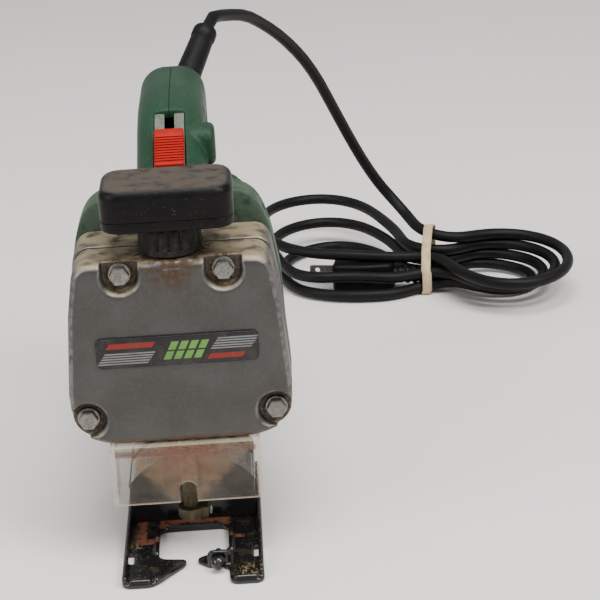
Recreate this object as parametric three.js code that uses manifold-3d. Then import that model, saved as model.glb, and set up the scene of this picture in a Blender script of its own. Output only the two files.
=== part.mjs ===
// Scroller jigsaw: cast gear housing in front, two green shells that form the motor case and the
// D handle, a tilting stamped shoe, a scrolling knob over the plunger, and a mains cord with plug.
// Millimetres, +Z up. x = 0 is the plane of symmetry and +x the tool's left side. y is written here
// from the front edge of the shoe backwards, and the outer group moves the whole to its centre.
import * as THREE from "three";
import { mergeVertices } from "three/addons/utils/BufferGeometryUtils.js";
import Module from "manifold-3d";

const wasm = await Module();
wasm.setup();

// ---- driving dimensions ----
const GAP = 0.3; // clearance between neighbouring pieces
const SLIVER = 0.01; // edges shorter than this are dissolved
const TOOL_LENGTH = 240;
const COVER_FRONT = 28;
const COVER_BACK = 54;
const HOUSING_BACK = 78;
const HOUSING_TOP = 149.5;
const HOUSING_BOTTOM = 61;
const HOUSING_HALF_WIDTH = 51.5;
const WALL = 4.5;
const BLADE_Y = 44; // plunger, collar and knob share this upright axis
const STROKE = 17;
const GEAR_Z = 122;
const MOTOR_Z = 98;
const GEAR_TEETH = 38;
const PINION_TEETH = 10;
const MODULE_MM = 1;
const HANDLE_TOP = 190; // upper end of the switch slope
const HANDLE_CROWN = 194; // top of the handle behind the switch
const HANDLE_HALF_WIDTH = 17;
const SHOE_HALF_WIDTH = 33;
const SHOE_LENGTH = 126;
const SHOE_THICKNESS = 2.2;
const FLANGE_HEIGHT = 5.5;
const ARCH_RADIUS = 38; // tilting arch, concentric with the tilt axis along the sole
const CORD_RADIUS = 3.5;

// ---- materials ----
const paint = (color, roughness, metalness = 0) =>
  new THREE.MeshStandardMaterial({ color, roughness, metalness });
const castAluminium = () => paint(0x8a8680, 0.55, 0.85);
const greenPlastic = () => paint(0x1f4a38, 0.5);
const blackPlastic = () => paint(0x1b1b1c, 0.45);
const redPlastic = () => paint(0xc2251f, 0.45);
const clearPlastic = () => paint(0xe4ddcc, 0.15);
const blackPaintedSteel = () => paint(0x141414, 0.25, 0.3);
const zincSteel = () => paint(0x9a988f, 0.4, 0.9);
const greasySteel = () => paint(0x5f5a44, 0.4, 0.8);
const gearSteel = () => paint(0x77777a, 0.35, 0.9);
const copper = () => paint(0xa5623a, 0.4, 0.9);
const bronze = () => paint(0x9c7a46, 0.4, 0.9);
const insulation = () => paint(0xd8d2c0, 0.6);
const carbon = () => paint(0x222222, 0.8);
const cordRubber = () => paint(0x161617, 0.6);

// ---- solids ----
function solid(geometry) {
  const bare = geometry.clone();
  bare.deleteAttribute("normal");
  bare.deleteAttribute("uv");
  const merged = mergeVertices(bare, 1e-4);
  return new wasm.Manifold(
    new wasm.Mesh({
      numProp: 3,
      vertProperties: merged.attributes.position.array,
      triVerts: new Uint32Array(merged.index.array),
    }),
  );
}

function geometryOf(manifold) {
  const made = manifold.simplify(SLIVER).getMesh();
  const geometry = new THREE.BufferGeometry();
  geometry.setAttribute("position", new THREE.BufferAttribute(made.vertProperties, 3));
  geometry.setIndex(new THREE.BufferAttribute(made.triVerts, 1));
  geometry.computeVertexNormals();
  return geometry;
}

const join = (first, ...others) => others.reduce((whole, other) => whole.add(other), first);
const cut = (body, ...tools) => tools.reduce((rest, tool) => rest.subtract(tool), body);

// A box between two corners.
function box(x0, x1, y0, y1, z0, z1) {
  const geometry = new THREE.BoxGeometry(x1 - x0, y1 - y0, z1 - z0);
  return solid(geometry.translate((x0 + x1) / 2, (y0 + y1) / 2, (z0 + z1) / 2));
}

// Round bars along each axis; the radius at the far end can differ.
function barX(radius, x0, x1, y, z, sides = 20) {
  const geometry = new THREE.CylinderGeometry(radius, radius, x1 - x0, sides);
  return solid(geometry.rotateZ(-Math.PI / 2).translate((x0 + x1) / 2, y, z));
}
function barY(radius, y0, y1, x, z, sides = 20, farRadius = radius) {
  const geometry = new THREE.CylinderGeometry(farRadius, radius, y1 - y0, sides);
  return solid(geometry.translate(x, (y0 + y1) / 2, z));
}
function barZ(radius, z0, z1, x, y, sides = 20, topRadius = radius) {
  const geometry = new THREE.CylinderGeometry(topRadius, radius, z1 - z0, sides);
  return solid(geometry.rotateX(Math.PI / 2).translate(x, y, (z0 + z1) / 2));
}

function extruded(shape, depth, bevel, curveSegments = 4) {
  const options = { depth: depth - 2 * bevel, curveSegments, bevelEnabled: bevel > 0 };
  if (bevel > 0) {
    Object.assign(options, { bevelSize: bevel, bevelThickness: bevel, bevelOffset: -bevel });
    options.bevelSegments = bevel > 3 ? 3 : 1;
  }
  return new THREE.ExtrudeGeometry(shape, options).translate(0, 0, bevel);
}
// Outline drawn in x and z, extruded from y0 to y1.
const alongY = (shape, y0, y1, bevel = 0, curves = 4) =>
  solid(extruded(shape, y1 - y0, bevel, curves).translate(0, 0, -y1).rotateX(Math.PI / 2));
// Outline drawn in y and z, extruded from x0 to x1.
const alongX = (shape, x0, x1, bevel = 0, curves = 4) =>
  solid(extruded(shape, x1 - x0, bevel, curves).translate(0, 0, x0)
    .rotateX(Math.PI / 2).rotateZ(Math.PI / 2));
// Outline drawn in x and y, extruded from z0 to z1.
const alongZ = (shape, z0, z1, bevel = 0, curves = 4) =>
  solid(extruded(shape, z1 - z0, bevel, curves).translate(0, 0, z0));

// Polygon with every corner rounded by the same radius.
function roundedShape(points, radius) {
  const corners = points.map(([x, y]) => new THREE.Vector2(x, y));
  const shape = new THREE.Shape();
  corners.forEach((corner, i) => {
    const before = corners.at(i - 1);
    const after = corners[(i + 1) % corners.length];
    const towards = (other) => {
      const step = other.clone().sub(corner);
      return corner.clone().add(step.setLength(Math.min(radius, step.length() * 0.45)));
    };
    const enter = towards(before);
    const leave = towards(after);
    if (i === 0) shape.moveTo(enter.x, enter.y);
    else shape.lineTo(enter.x, enter.y);
    shape.quadraticCurveTo(corner.x, corner.y, leave.x, leave.y);
  });
  shape.closePath();
  return shape;
}
const rectangle = (x0, x1, y0, y1, radius) =>
  roundedShape([[x0, y0], [x1, y0], [x1, y1], [x0, y1]], radius);
// The same half outline on both sides of the plane of symmetry, from bottom to top.
function mirroredShape(half, radius) {
  const otherSide = half.map(([x, z]) => [-x, z]).reverse();
  return roundedShape([...half, ...otherSide], radius);
}
function ring(outer, inner, y0, y1, z, sides = 24) {
  return cut(barY(outer, y0, y1, 0, z, sides), barY(inner, y0 - 1, y1 + 1, 0, z, sides));
}

const tool = new THREE.Group();
tool.position.y = -TOOL_LENGTH / 2;
function add(name, shape, material, parent = tool) {
  const mesh = new THREE.Mesh(shape.isBufferGeometry ? shape : geometryOf(shape), material);
  mesh.name = name;
  parent.add(mesh);
  return mesh;
}

// ---- gear housing ----
// Right half of the casting's outline, seen from the front, grown or shrunk by a wall.
function castingShape(inset = 0, top = HOUSING_TOP) {
  const w = HOUSING_HALF_WIDTH - inset;
  return mirroredShape([
    [36 - inset, HOUSING_BOTTOM + inset],
    [w - 1, HOUSING_BOTTOM + 7 + inset],
    [w, HOUSING_BOTTOM + 26],
    [w - 3, top - 25],
    [w - 7, top - inset],
  ], 7);
}
const UPPER_SCREW = new THREE.Vector2(23.5, 143.5);
const LOWER_SCREW = new THREE.Vector2(43.5, 74);
const SCREW_SEAT = 34;
const coverScrews = [
  [-UPPER_SCREW.x, UPPER_SCREW.y],
  [UPPER_SCREW.x, UPPER_SCREW.y],
  [-LOWER_SCREW.x, LOWER_SCREW.y],
  [LOWER_SCREW.x, LOWER_SCREW.y],
];
const SCREW_BORE = 2.4;
const BOSS = 9.6;

function gearCavity(y0, y1) {
  const bosses = coverScrews.map(([x, z]) => barY(BOSS, y0 - 1, y1 + 1, x, z, 12));
  const plungerBoss = barZ(10, HOUSING_BOTTOM, HOUSING_BOTTOM + 12, 0, BLADE_Y, 20);
  const shaftBoss = barZ(11, HOUSING_TOP - 12, HOUSING_TOP, 0, BLADE_Y, 20);
  return cut(alongY(castingShape(WALL), y0, y1, 0, 2), ...bosses, plungerBoss, shaftBoss);
}

function frontCover() {
  const bulk = alongY(castingShape(), COVER_FRONT, COVER_BACK + 12, 4, 2);
  const behind = box(-60, 60, COVER_BACK, COVER_BACK + 20, 40, 170);
  const pockets = coverScrews.map(([x, z]) => {
    const round = barY(8.2, COVER_FRONT - 5, SCREW_SEAT, x, z, 18);
    const outwards = x > 0 ? [x, x + 20] : [x - 20, x];
    const run = z > MOTOR_Z
      ? box(x - 8.2, x + 8.2, COVER_FRONT - 5, SCREW_SEAT, z, z + 20)
      : box(...outwards, COVER_FRONT - 5, SCREW_SEAT, z - 20, z + 4);
    return join(round, run);
  });
  const bores = coverScrews.map(([x, z]) => barY(SCREW_BORE, SCREW_SEAT - 1, 80, x, z, 8));
  const plungerHole = barZ(7.3, HOUSING_BOTTOM - 8, HOUSING_BOTTOM + 20, 0, BLADE_Y);
  const shaftHole = barZ(9.3, HOUSING_TOP - 20, HOUSING_TOP + 5, 0, BLADE_Y);
  const cavity = gearCavity(COVER_FRONT + 5.4, COVER_BACK + 1);
  return cut(bulk, behind, cavity, ...pockets, ...bores, plungerHole, shaftHole);
}

function gearHousing() {
  const y0 = COVER_BACK + GAP;
  const ridge = alongY(castingShape(-0.6), y0, HOUSING_BACK, 0, 2);
  const cavity = gearCavity(y0 - 1, HOUSING_BACK - 8);
  const bores = coverScrews.map(([x, z]) => barY(SCREW_BORE, y0 - 1, 72, x, z, 8));
  const bearingSeat = barY(11.3, HOUSING_BACK - 9, HOUSING_BACK + 1, 0, MOTOR_Z);
  const axleSeat = barY(3.3, HOUSING_BACK - 9, HOUSING_BACK + 1, 0, GEAR_Z, 16);
  return cut(ridge, cavity, ...bores, bearingSeat, axleSeat);
}

// Hex head with a washer face and a plain shank, head towards -y.
function hexScrew(across, headHeight, washer, shank, length) {
  const head = barY(across / Math.sqrt(3), -headHeight, 0, 0, 0, 6);
  const face = barY(washer, -1.2, 0, 0, 0, 16);
  return join(head, face, barY(shank, -0.5, length, 0, 0, 8));
}
function addCoverScrews() {
  coverScrews.forEach(([x, z], i) => {
    const screw = add(`cover_screw_${i + 1}`, hexScrew(7.9, 5, 5.2, 2, 34), zincSteel());
    screw.position.set(x, SCREW_SEAT - GAP, z);
  });
}

function namePlate() {
  const face = rectangle(-37, 37, 100, 114.5, 2.5);
  return alongY(face, COVER_FRONT - GAP - 0.9, COVER_FRONT - GAP, 0, 3);
}

// ---- knob, collar and plunger ----
const KNOB_BOTTOM = 164.5;
const KNOB_SEAM = 169.5;
const KNOB_TOP = 184.5;
function knobShape(inset) {
  return rectangle(-30 + inset, 30 - inset, BLADE_Y - 19.5 + inset, BLADE_Y + 19.5 - inset, 9);
}
const knobBase = () => join(
  alongZ(knobShape(0.3), KNOB_BOTTOM, KNOB_SEAM - GAP, 1.5, 3),
  barZ(7, KNOB_BOTTOM + 1, KNOB_SEAM + 6, 0, BLADE_Y, 16),
);
function knobCap() {
  const block = alongZ(knobShape(0), KNOB_SEAM, KNOB_TOP, 3.5, 3);
  const socket = barZ(7 + GAP, KNOB_SEAM - 1, KNOB_SEAM + 6 + GAP, 0, BLADE_Y, 16);
  return cut(block, socket);
}
// Knurled ring; its flutes make it turn by hand.
function lockCollar() {
  const flutes = 16;
  const body = barZ(14.8, HOUSING_TOP + 3 * GAP, KNOB_BOTTOM - 3 * GAP, 0, BLADE_Y, 32, 14.2);
  const grooves = Array.from({ length: flutes }, (_, i) => {
    const angle = (i / flutes) * 2 * Math.PI;
    const x = 15.3 * Math.cos(angle);
    const y = BLADE_Y + 15.3 * Math.sin(angle);
    return barZ(1.3, HOUSING_TOP + 2, KNOB_BOTTOM, x, y, 5);
  });
  const hole = barZ(8, HOUSING_TOP - 1, KNOB_BOTTOM, 0, BLADE_Y);
  return cut(body, hole, ...grooves);
}
// Sleeve that turns with the knob and carries the plunger round by its flats.
const PLUNGER_RADIUS = 3.7;
function scrollerSleeve() {
  const top = KNOB_BOTTOM - GAP;
  const tube = join(
    barZ(7.6, 140, top, 0, BLADE_Y),
    barZ(8.3, 140, 143, 0, BLADE_Y),
  );
  const bore = cut(
    barZ(PLUNGER_RADIUS + GAP, 139, top - 2, 0, BLADE_Y),
    box(PLUNGER_RADIUS - 0.5, 8, 30, 60, 138, top),
  );
  return cut(tube, bore);
}
const PLUNGER_BOTTOM = 21;
const YOKE_HALF_HEIGHT = 6.5;
function plunger() {
  const rod = barZ(PLUNGER_RADIUS, PLUNGER_BOTTOM, 152, 0, BLADE_Y, 16);
  const flat = box(PLUNGER_RADIUS - 0.9, 8, 30, 60, 131, 160);
  const stops = [-1, 1].map((side) => {
    const z = GEAR_Z + side * (YOKE_HALF_HEIGHT + GAP + 1);
    return barZ(5.6, z - 1, z + 1, 0, BLADE_Y, 16);
  });
  return cut(join(rod, ...stops), flat);
}
// Clamp on the plunger's lower end; the blade's shank would sit in the slot of its lower face.
function bladeClamp() {
  const bottom = PLUNGER_BOTTOM - 5.5;
  const body = join(
    barZ(6.4, bottom, PLUNGER_BOTTOM - GAP, 0, BLADE_Y, 18),
    box(-4, 8.2, BLADE_Y - 3.6, BLADE_Y + 3.6, bottom, PLUNGER_BOTTOM - GAP),
  );
  const slot = box(-0.8, 0.8, BLADE_Y - 3.2, BLADE_Y + 3.2, bottom - 1, PLUNGER_BOTTOM - 2);
  const bore = barX(1.4, 2, 9, BLADE_Y, bottom + 2.7, 10);
  return cut(body, slot, bore);
}
function clampScrew() {
  const z = PLUNGER_BOTTOM - 2.8;
  const head = barX(2.3, 8.2 + GAP, 9.8, BLADE_Y, z, 12);
  const socket = barX(1.1, 9.2, 10.5, BLADE_Y, z, 6);
  return cut(join(head, barX(1.1, 2.3, 9, BLADE_Y, z, 10)), socket);
}
const lowerBushing = () => cut(
  barZ(7, HOUSING_BOTTOM + GAP, HOUSING_BOTTOM + 12, 0, BLADE_Y),
  barZ(PLUNGER_RADIUS + GAP, HOUSING_BOTTOM - 2, HOUSING_BOTTOM + 14, 0, BLADE_Y),
);
// Slotted block that the crank lifts and lowers; the plunger turns freely in it.
function yoke() {
  const low = GEAR_Z - YOKE_HALF_HEIGHT;
  const high = GEAR_Z + YOKE_HALF_HEIGHT;
  const block = join(
    box(-8, 8, BLADE_Y - 7.5, BLADE_Y + 8, low, high),
    box(-15, 15, BLADE_Y + 5, BLADE_Y + 10.5, low, high),
  );
  const bore = barZ(PLUNGER_RADIUS + GAP, low - 1, high + 1, 0, BLADE_Y);
  const slot = alongY(rectangle(-12, 12, GEAR_Z - 3.3, GEAR_Z + 3.3, 3.2), BLADE_Y + 7, 60);
  return cut(block, bore, slot);
}

// ---- gears and motor ----
// Spur gear outline with plain tapered teeth and clear backlash; phase is a part of one tooth.
function gearShape(teeth, phase) {
  const pitchRadius = (teeth * MODULE_MM) / 2;
  const step = (2 * Math.PI) / teeth;
  const shape = new THREE.Shape();
  for (let i = 0; i < teeth; i++) {
    const profile = [[-0.24, -1.1], [-0.13, 0.7], [0.13, 0.7], [0.24, -1.1]];
    profile.forEach(([turn, rise], k) => {
      const angle = (i + phase + turn) * step;
      const radius = pitchRadius + rise * MODULE_MM;
      const x = radius * Math.sin(angle);
      const z = radius * Math.cos(angle);
      if (i === 0 && k === 0) shape.moveTo(x, z);
      else shape.lineTo(x, z);
    });
  }
  shape.closePath();
  return shape;
}
const GEAR_FRONT = 61;
const GEAR_REAR = 67;
function driveGear() {
  const wheel = alongY(gearShape(GEAR_TEETH, 0), GEAR_FRONT, GEAR_REAR)
    .translate([0, 0, GEAR_Z]);
  const hub = barY(6.5, GEAR_FRONT, GEAR_REAR + 2.5, 0, GEAR_Z, 16);
  const crankPin = barY(2.6, GEAR_FRONT - 4.5, GEAR_REAR - 2, STROKE / 2, GEAR_Z, 12);
  const web = [-1, 1].map((side) => barY(4, 50, 80, 0, GEAR_Z + side * 12, 12));
  const bore = barY(3 + GAP, GEAR_FRONT + 1.5, 80, 0, GEAR_Z, 16);
  return cut(join(wheel, hub, crankPin), bore, ...web);
}
const gearAxle = () => barY(3, GEAR_FRONT + 2, HOUSING_BACK, 0, GEAR_Z, 16);
function bearing(y0, y1) {
  return ring(11, 5.3, y0, y1, MOTOR_Z, 18);
}
const CORE_FRONT = 118;
const CORE_REAR = 160;
const FRONT_BEARING = [70.6, 77.4];
const REAR_BEARING = [206, 213];
function armatureShaft() {
  const pinion = alongY(gearShape(PINION_TEETH, 0.5), GEAR_FRONT - 1, 69)
    .translate([0, 0, MOTOR_Z]);
  return join(pinion, barY(5, 68, REAR_BEARING[1], 0, MOTOR_Z, 16));
}
function armatureCore() {
  const slots = 12;
  const stack = barY(19, CORE_FRONT, CORE_REAR, 0, MOTOR_Z, 24);
  const cuts = Array.from({ length: slots }, (_, i) => {
    const angle = (i / slots) * 2 * Math.PI;
    const x = 17.5 * Math.cos(angle);
    const z = MOTOR_Z + 17.5 * Math.sin(angle);
    return barY(1.6, CORE_FRONT - 1, CORE_REAR + 1, x, z, 4);
  });
  return cut(stack, barY(5 + GAP, 100, 180, 0, MOTOR_Z, 16), ...cuts);
}
const commutator = () => ring(11.5, 5 + GAP, 176, 192, MOTOR_Z);
function coolingFan() {
  const blades = 8;
  const disc = ring(29, 5 + GAP, 106, 108, MOTOR_Z, 24);
  const hub = ring(10, 5 + GAP, 98, 108, MOTOR_Z, 16);
  const vanes = Array.from({ length: blades }, (_, i) =>
    box(-0.9, 0.9, 97, 107, 9, 28)
      .rotate([0, (i / blades) * 360, 0])
      .translate([0, 0, MOTOR_Z]));
  return join(disc, hub, ...vanes);
}
function fieldCore() {
  const frame = ring(33, 20, CORE_FRONT, CORE_REAR, MOTOR_Z, 28);
  const bays = [-1, 1].map((side) =>
    box(-11, 11, CORE_FRONT - 1, CORE_REAR + 1, MOTOR_Z + side * 24 - 5, MOTOR_Z + side * 24 + 5));
  return cut(frame, ...bays);
}
// One winding lies in each bay of the field core.
function fieldCoil(side) {
  const z = MOTOR_Z + side * 24;
  return cut(
    box(-10.5, 10.5, CORE_FRONT - 6, CORE_REAR + 6, z - 4.5, z + 4.5),
    box(-4, 4, CORE_FRONT, CORE_REAR, z - 6, z + 6),
  );
}
const brush = (side) => side > 0
  ? box(11.5 + GAP, 26, 181, 187, MOTOR_Z - 3, MOTOR_Z + 3)
  : box(-26, -11.5 - GAP, 181, 187, MOTOR_Z - 3, MOTOR_Z + 3);
function brushHolder(side) {
  const outer = side > 0
    ? box(16, 34, 178.5, 189.5, MOTOR_Z - 5.5, MOTOR_Z + 5.5)
    : box(-34, -16, 178.5, 189.5, MOTOR_Z - 5.5, MOTOR_Z + 5.5);
  const inner = box(-40, 40, 181 - GAP, 187 + GAP, MOTOR_Z - 3 - GAP, MOTOR_Z + 3 + GAP);
  return cut(outer, inner);
}

// ---- green shells: motor case and D handle ----
const CASE_FRONT = HOUSING_BACK + GAP;
const CASE_BOTTOM = 60;
const CASE_TOP = 131;
const SLOPE_LOW = new THREE.Vector2(90, 166.5); // front slope of the handle, which holds the switch
const SLOPE_HIGH = new THREE.Vector2(145, HANDLE_TOP);
const SLOPE_ANGLE = Math.atan2(SLOPE_HIGH.y - SLOPE_LOW.y, SLOPE_HIGH.x - SLOPE_LOW.x);
const FINGER_GAP = { y0: 134, y1: 203, z0: 138, z1: 163 };
const CORD_EXIT = new THREE.Vector3(0, 231, 168);
const CORD_LEAN = new THREE.Vector3(16, 37, 27).normalize();

function handleSolid() {
  const shape = (radius) => roundedShape([
    [CASE_FRONT + 2, 110],
    [CASE_FRONT + 2, 152],
    [SLOPE_LOW.x, SLOPE_LOW.y],
    [SLOPE_HIGH.x, SLOPE_HIGH.y],
    [166, HANDLE_CROWN],
    [223, HANDLE_CROWN],
    [TOOL_LENGTH, 178],
    [TOOL_LENGTH, 110],
  ], radius);
  const round = alongX(shape(17), -HANDLE_HALF_WIDTH, HANDLE_HALF_WIDTH, 10, 4);
  const outline = shape(9);
  const { y0, y1, z0, z1 } = FINGER_GAP;
  outline.holes.push(rectangle(y0 - 5, y1 + 5, z0 - 5, z1 + 5, 14));
  return alongX(outline, -HANDLE_HALF_WIDTH, HANDLE_HALF_WIDTH, 7, 3).intersect(round);
}
// Motor case, with a taller collar in front that meets the casting.
function caseSolid() {
  const barrel = mirroredShape([
    [28, CASE_BOTTOM],
    [45, CASE_BOTTOM + 12],
    [47, MOTOR_Z],
    [43, CASE_TOP - 14],
    [25, CASE_TOP],
  ], 9);
  const collar = mirroredShape([
    [32, CASE_BOTTOM + 1.5],
    [49, CASE_BOTTOM + 9],
    [51.5, 86],
    [50, 124],
    [46, 148],
    [40, 162],
    [27, 167.5],
  ], 8);
  return join(
    alongY(barrel, CASE_FRONT + 4, TOOL_LENGTH - 2, 8, 3),
    cut(
      alongY(collar, CASE_FRONT - 8, CASE_FRONT + 24, 7, 2),
      box(-60, 60, 60, CASE_FRONT, 0, 200),
    ),
  );
}
// Pad under the case whose hollow face the shoe's arch slides on.
function saddleSolid() {
  const pad = box(-13, 13, 84, 106, ARCH_RADIUS - 4, CASE_BOTTOM + 5);
  return cut(pad, barY(ARCH_RADIUS + 2 * GAP, 80, 110, 0, 0, 64));
}
function shellCavity() {
  const motorRoom = cut(
    barY(36, CASE_FRONT - 1, 222, 0, MOTOR_Z, 24),
    box(-40, 40, CASE_FRONT - 2, 223, CASE_TOP + 0.4, 200),
  );
  const gripRoom = box(-11, 11, 143, 226, 171, 184);
  const rearRoom = box(-11, 11, 212, 232, 108, 176);
  return join(motorRoom, gripRoom, rearRoom);
}
// A cylinder of the given radius on the line that the cord leaves by.
function onCordLine(radius, from, to, farRadius = radius, sides = 16) {
  const geometry = new THREE.CylinderGeometry(farRadius, radius, to - from, sides);
  geometry.translate(0, (from + to) / 2, 0);
  const turn = new THREE.Quaternion()
    .setFromUnitVectors(new THREE.Vector3(0, 1, 0), CORD_LEAN);
  geometry.applyQuaternion(turn);
  return solid(geometry.translate(CORD_EXIT.x, CORD_EXIT.y, CORD_EXIT.z));
}
// Moves a solid drawn flat (x across, y up the slope, z out of it) onto the handle's slope.
function onSlope(body) {
  return body.rotate([(SLOPE_ANGLE * 180) / Math.PI, 0, 0])
    .translate([0, SLOPE_LOW.x, SLOPE_LOW.y]);
}
const SLOPE_LENGTH = SLOPE_LOW.distanceTo(SLOPE_HIGH);
const switchRecess = () =>
  onSlope(box(-7.6, 7.6, -12, SLOPE_LENGTH - 2, -3.4, 12));
const switchRoom = () =>
  onSlope(join(
    box(-7.3, 7.3, 10, 33, -20, 0),
    box(-3, 3, 14, 42, -7, 0),
  ));

function shellSolid() {
  const outside = join(handleSolid(), caseSolid(), saddleSolid());
  const sideBoss = alongX(rectangle(126, 145, 163, 183, 7), 0, HANDLE_HALF_WIDTH + 5, 2, 3);
  const tiltBore = barZ(2.7, 30, CASE_BOTTOM + 3, 0, 95, 12);
  return cut(
    join(outside, sideBoss),
    shellCavity(),
    switchRecess(),
    switchRoom(),
    onCordLine(6.6, -6, 40),
    tiltBore,
    ...[...shellScrews.keys()].map(shellScrewHole),
  );
}
// The screws go in from the +x side: y, z, and the depth of each counterbore's floor.
const shellScrews = [
  { y: 168, z: 180, seat: 13 },
  { y: 219, z: 182, seat: 11 },
  { y: 232, z: 122, seat: 11 },
  { y: 90, z: 151, seat: 13 },
];
function shellScrewHole(index) {
  const { y, z, seat } = shellScrews[index];
  return join(barX(3.6, seat, 60, y, z, 12), barX(1.9, -seat, seat + 1, y, z, 8));
}
function shellScrew({ y, z, seat }) {
  const head = barX(3.2, seat + GAP, seat + 2.3, y, z, 14);
  const slot = box(seat + 1.5, seat + 4, y - 0.5, y + 0.5, z - 5, z + 5);
  return cut(join(head, barX(1.6, 1 - seat, seat + 1, y, z, 8)), slot);
}
function addShells() {
  const whole = shellSolid();
  const side = (x0, x1) => box(x0, x1, 0, 260, 0, 220);
  add("left_shell", whole.intersect(side(GAP / 2, 80)), greenPlastic());
  add("right_shell", whole.intersect(side(-80, -GAP / 2)), greenPlastic());
  shellScrews.forEach((place, i) =>
    add(`shell_screw_${i + 1}`, shellScrew(place), zincSteel()));
}

// ---- switch ----
const SLIDE_LENGTH = 28;
const SLIDE_START = 10;
function slideButton() {
  const y1 = SLIDE_START + SLIDE_LENGTH;
  const block = alongZ(rectangle(-7.2, 7.2, SLIDE_START, y1, 1.2), -1.2, 4.5, 1, 2);
  const ribs = Array.from({ length: 10 }, (_, i) => {
    const y = SLIDE_START + 2.5 + i * 2;
    return box(-8, 8, y, y + 0.8, 3.7, 6);
  });
  const stem = box(-1.8, 1.8, SLIDE_START + 8, SLIDE_START + 16, -6, 0);
  return onSlope(join(cut(block, ...ribs), stem));
}
// Dust plate in the recess, with the slot that the button's stem runs in.
function switchPlate() {
  const plate = box(-7.3, 7.3, 1, SLOPE_LENGTH - 2.5, -3.1, -1.9);
  const slot = box(-2.4, 2.4, SLIDE_START + 6, SLOPE_LENGTH - 4, -4, 0);
  return onSlope(cut(plate, slot));
}
function switchBody() {
  return onSlope(box(-7, 7, 10.4, 32.6, -19.5, -7.3));
}

// ---- chip shield ----
const SHIELD_BOTTOM = 31;
const SHIELD_TOP = HOUSING_BOTTOM - GAP;
const SHIELD_HALF_WIDTH = 35;
function chipShield() {
  const w = SHIELD_HALF_WIDTH;
  const front = 26;
  const outer = rectangle(-w, w, front, 52, 2);
  const pane = alongZ(outer, SHIELD_BOTTOM, SHIELD_TOP, 0, 2);
  const inside = box(-w + 2, w - 2, front + 2, 60, SHIELD_BOTTOM - 1, SHIELD_TOP - 2);
  const roof = box(-12, 12, BLADE_Y - 12, 60, SHIELD_TOP - 3, SHIELD_TOP + 1);
  const notch = alongY(rectangle(-4, 4, SHIELD_BOTTOM - 8, SHIELD_BOTTOM + 10.5, 3.5), 20, 40);
  return cut(pane, inside, roof, notch);
}

// ---- shoe ----
const OPENING_HALF_WIDTH = 16.5;
const OPENING_BACK = 57;
const EAR_FRONT = 17; // upright ear beside the throat, which holds the guide's clamp screw
const EAR_SCREW = new THREE.Vector2(11.8, 4.8);
function shoePlate() {
  const w = SHOE_HALF_WIDTH;
  return roundedShape([
    [-w, 2], [-19, 2], [-15, 6], [-3.5, 20.5], [-3.2, 25], [-OPENING_HALF_WIDTH, 27],
    [-OPENING_HALF_WIDTH, OPENING_BACK], [OPENING_HALF_WIDTH, OPENING_BACK],
    [OPENING_HALF_WIDTH, 30], [7, 29], [1.8, 25.5], [1.8, 22.5], [7.5, EAR_FRONT],
    [OPENING_HALF_WIDTH, EAR_FRONT], [OPENING_HALF_WIDTH + 0.5, 0], [w, 0],
    [w, SHOE_LENGTH], [-w, SHOE_LENGTH],
  ], 4);
}
const FENCE_SLOT = { y0: 23.5, y1: 33.5, z1: 4.2 };
function shoe() {
  const w = SHOE_HALF_WIDTH;
  const floor = alongZ(shoePlate(), 0, SHOE_THICKNESS, 0, 2);
  const flanges = [[-w, -w + 2.2], [w - 2.2, w]].map(([x0, x1]) =>
    alongX(rectangle(3.5, SHOE_LENGTH - 3, 0.6, FLANGE_HEIGHT, 1.2), x0, x1, 0, 2));
  const frontLip = box(w - 12, w - 3, 0.6, 2.8, 0.5, FLANGE_HEIGHT - 1.5);
  const leftLip = box(-w + 4, -w + 13, 2.6, 4.8, 0.5, FLANGE_HEIGHT - 1.5);
  const backLip = alongX(rectangle(OPENING_BACK, OPENING_BACK + 2.2, 0.6, 4.4, 1), -13, 13, 0, 2);
  const ear = alongY(rectangle(6.5, 17.5, 0.6, 9, 2.5), EAR_FRONT + 0.2, EAR_FRONT + 2.6, 0, 3);
  const cheek = box(15.5, 17.5, EAR_FRONT + 0.2, EAR_FRONT + 12, 0.6, 5);
  const { y0, y1, z1 } = FENCE_SLOT;
  return cut(
    join(floor, ...flanges, frontLip, leftLip, backLip, ear, cheek),
    box(-w - 1, -w + 4.6, y0, y1, -1, z1),
    box(w - 4.6, w + 1, y0, y1, -1, z1),
    barY(1.8, EAR_FRONT - 2, EAR_FRONT + 5, EAR_SCREW.x, EAR_SCREW.y, 12),
  );
}
// Arch riveted on the shoe and closed in front; its crown is slotted for the tilt screw's swing.
function shoeBracket() {
  const [y0, y1] = [66, 112];
  const legTop = ARCH_RADIUS * Math.cos((55 * Math.PI) / 180);
  const crown = cut(
    barY(ARCH_RADIUS, y0, y1, 0, 0, 64),
    barY(ARCH_RADIUS - 2.4, y0 - 1, y1 + 1, 0, 0, 64),
    box(-60, 60, y0 - 2, y1 + 2, -60, legTop),
  );
  const wall = (x0, x1) => box(x0, x1, y0, y1, SHOE_THICKNESS + GAP, legTop + 1.5);
  const foot = (x0, x1) => box(x0, x1, y0, y1, SHOE_THICKNESS + GAP, SHOE_THICKNESS + 2.3);
  const front = cut(
    barY(ARCH_RADIUS - 1, y0, y0 + 1.8, 0, 0, 64),
    box(-60, 60, y0 - 2, y1 + 2, -60, SHOE_THICKNESS + GAP),
    box(28.5, 60, y0 - 2, y1 + 2, 0, legTop),
    box(-60, -28.5, y0 - 2, y1 + 2, 0, legTop),
  );
  const slot = cut(
    barY(ARCH_RADIUS + 4, 92, 98, 0, 0, 48),
    box(-60, 60, 90, 100, -60, ARCH_RADIUS * Math.cos((53 * Math.PI) / 180)),
  );
  const walls = [wall(-30.4, -28.4), wall(28.4, 30.4), foot(-30, -18), foot(18, 30)];
  return cut(join(crown, front, ...walls), slot);
}
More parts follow.
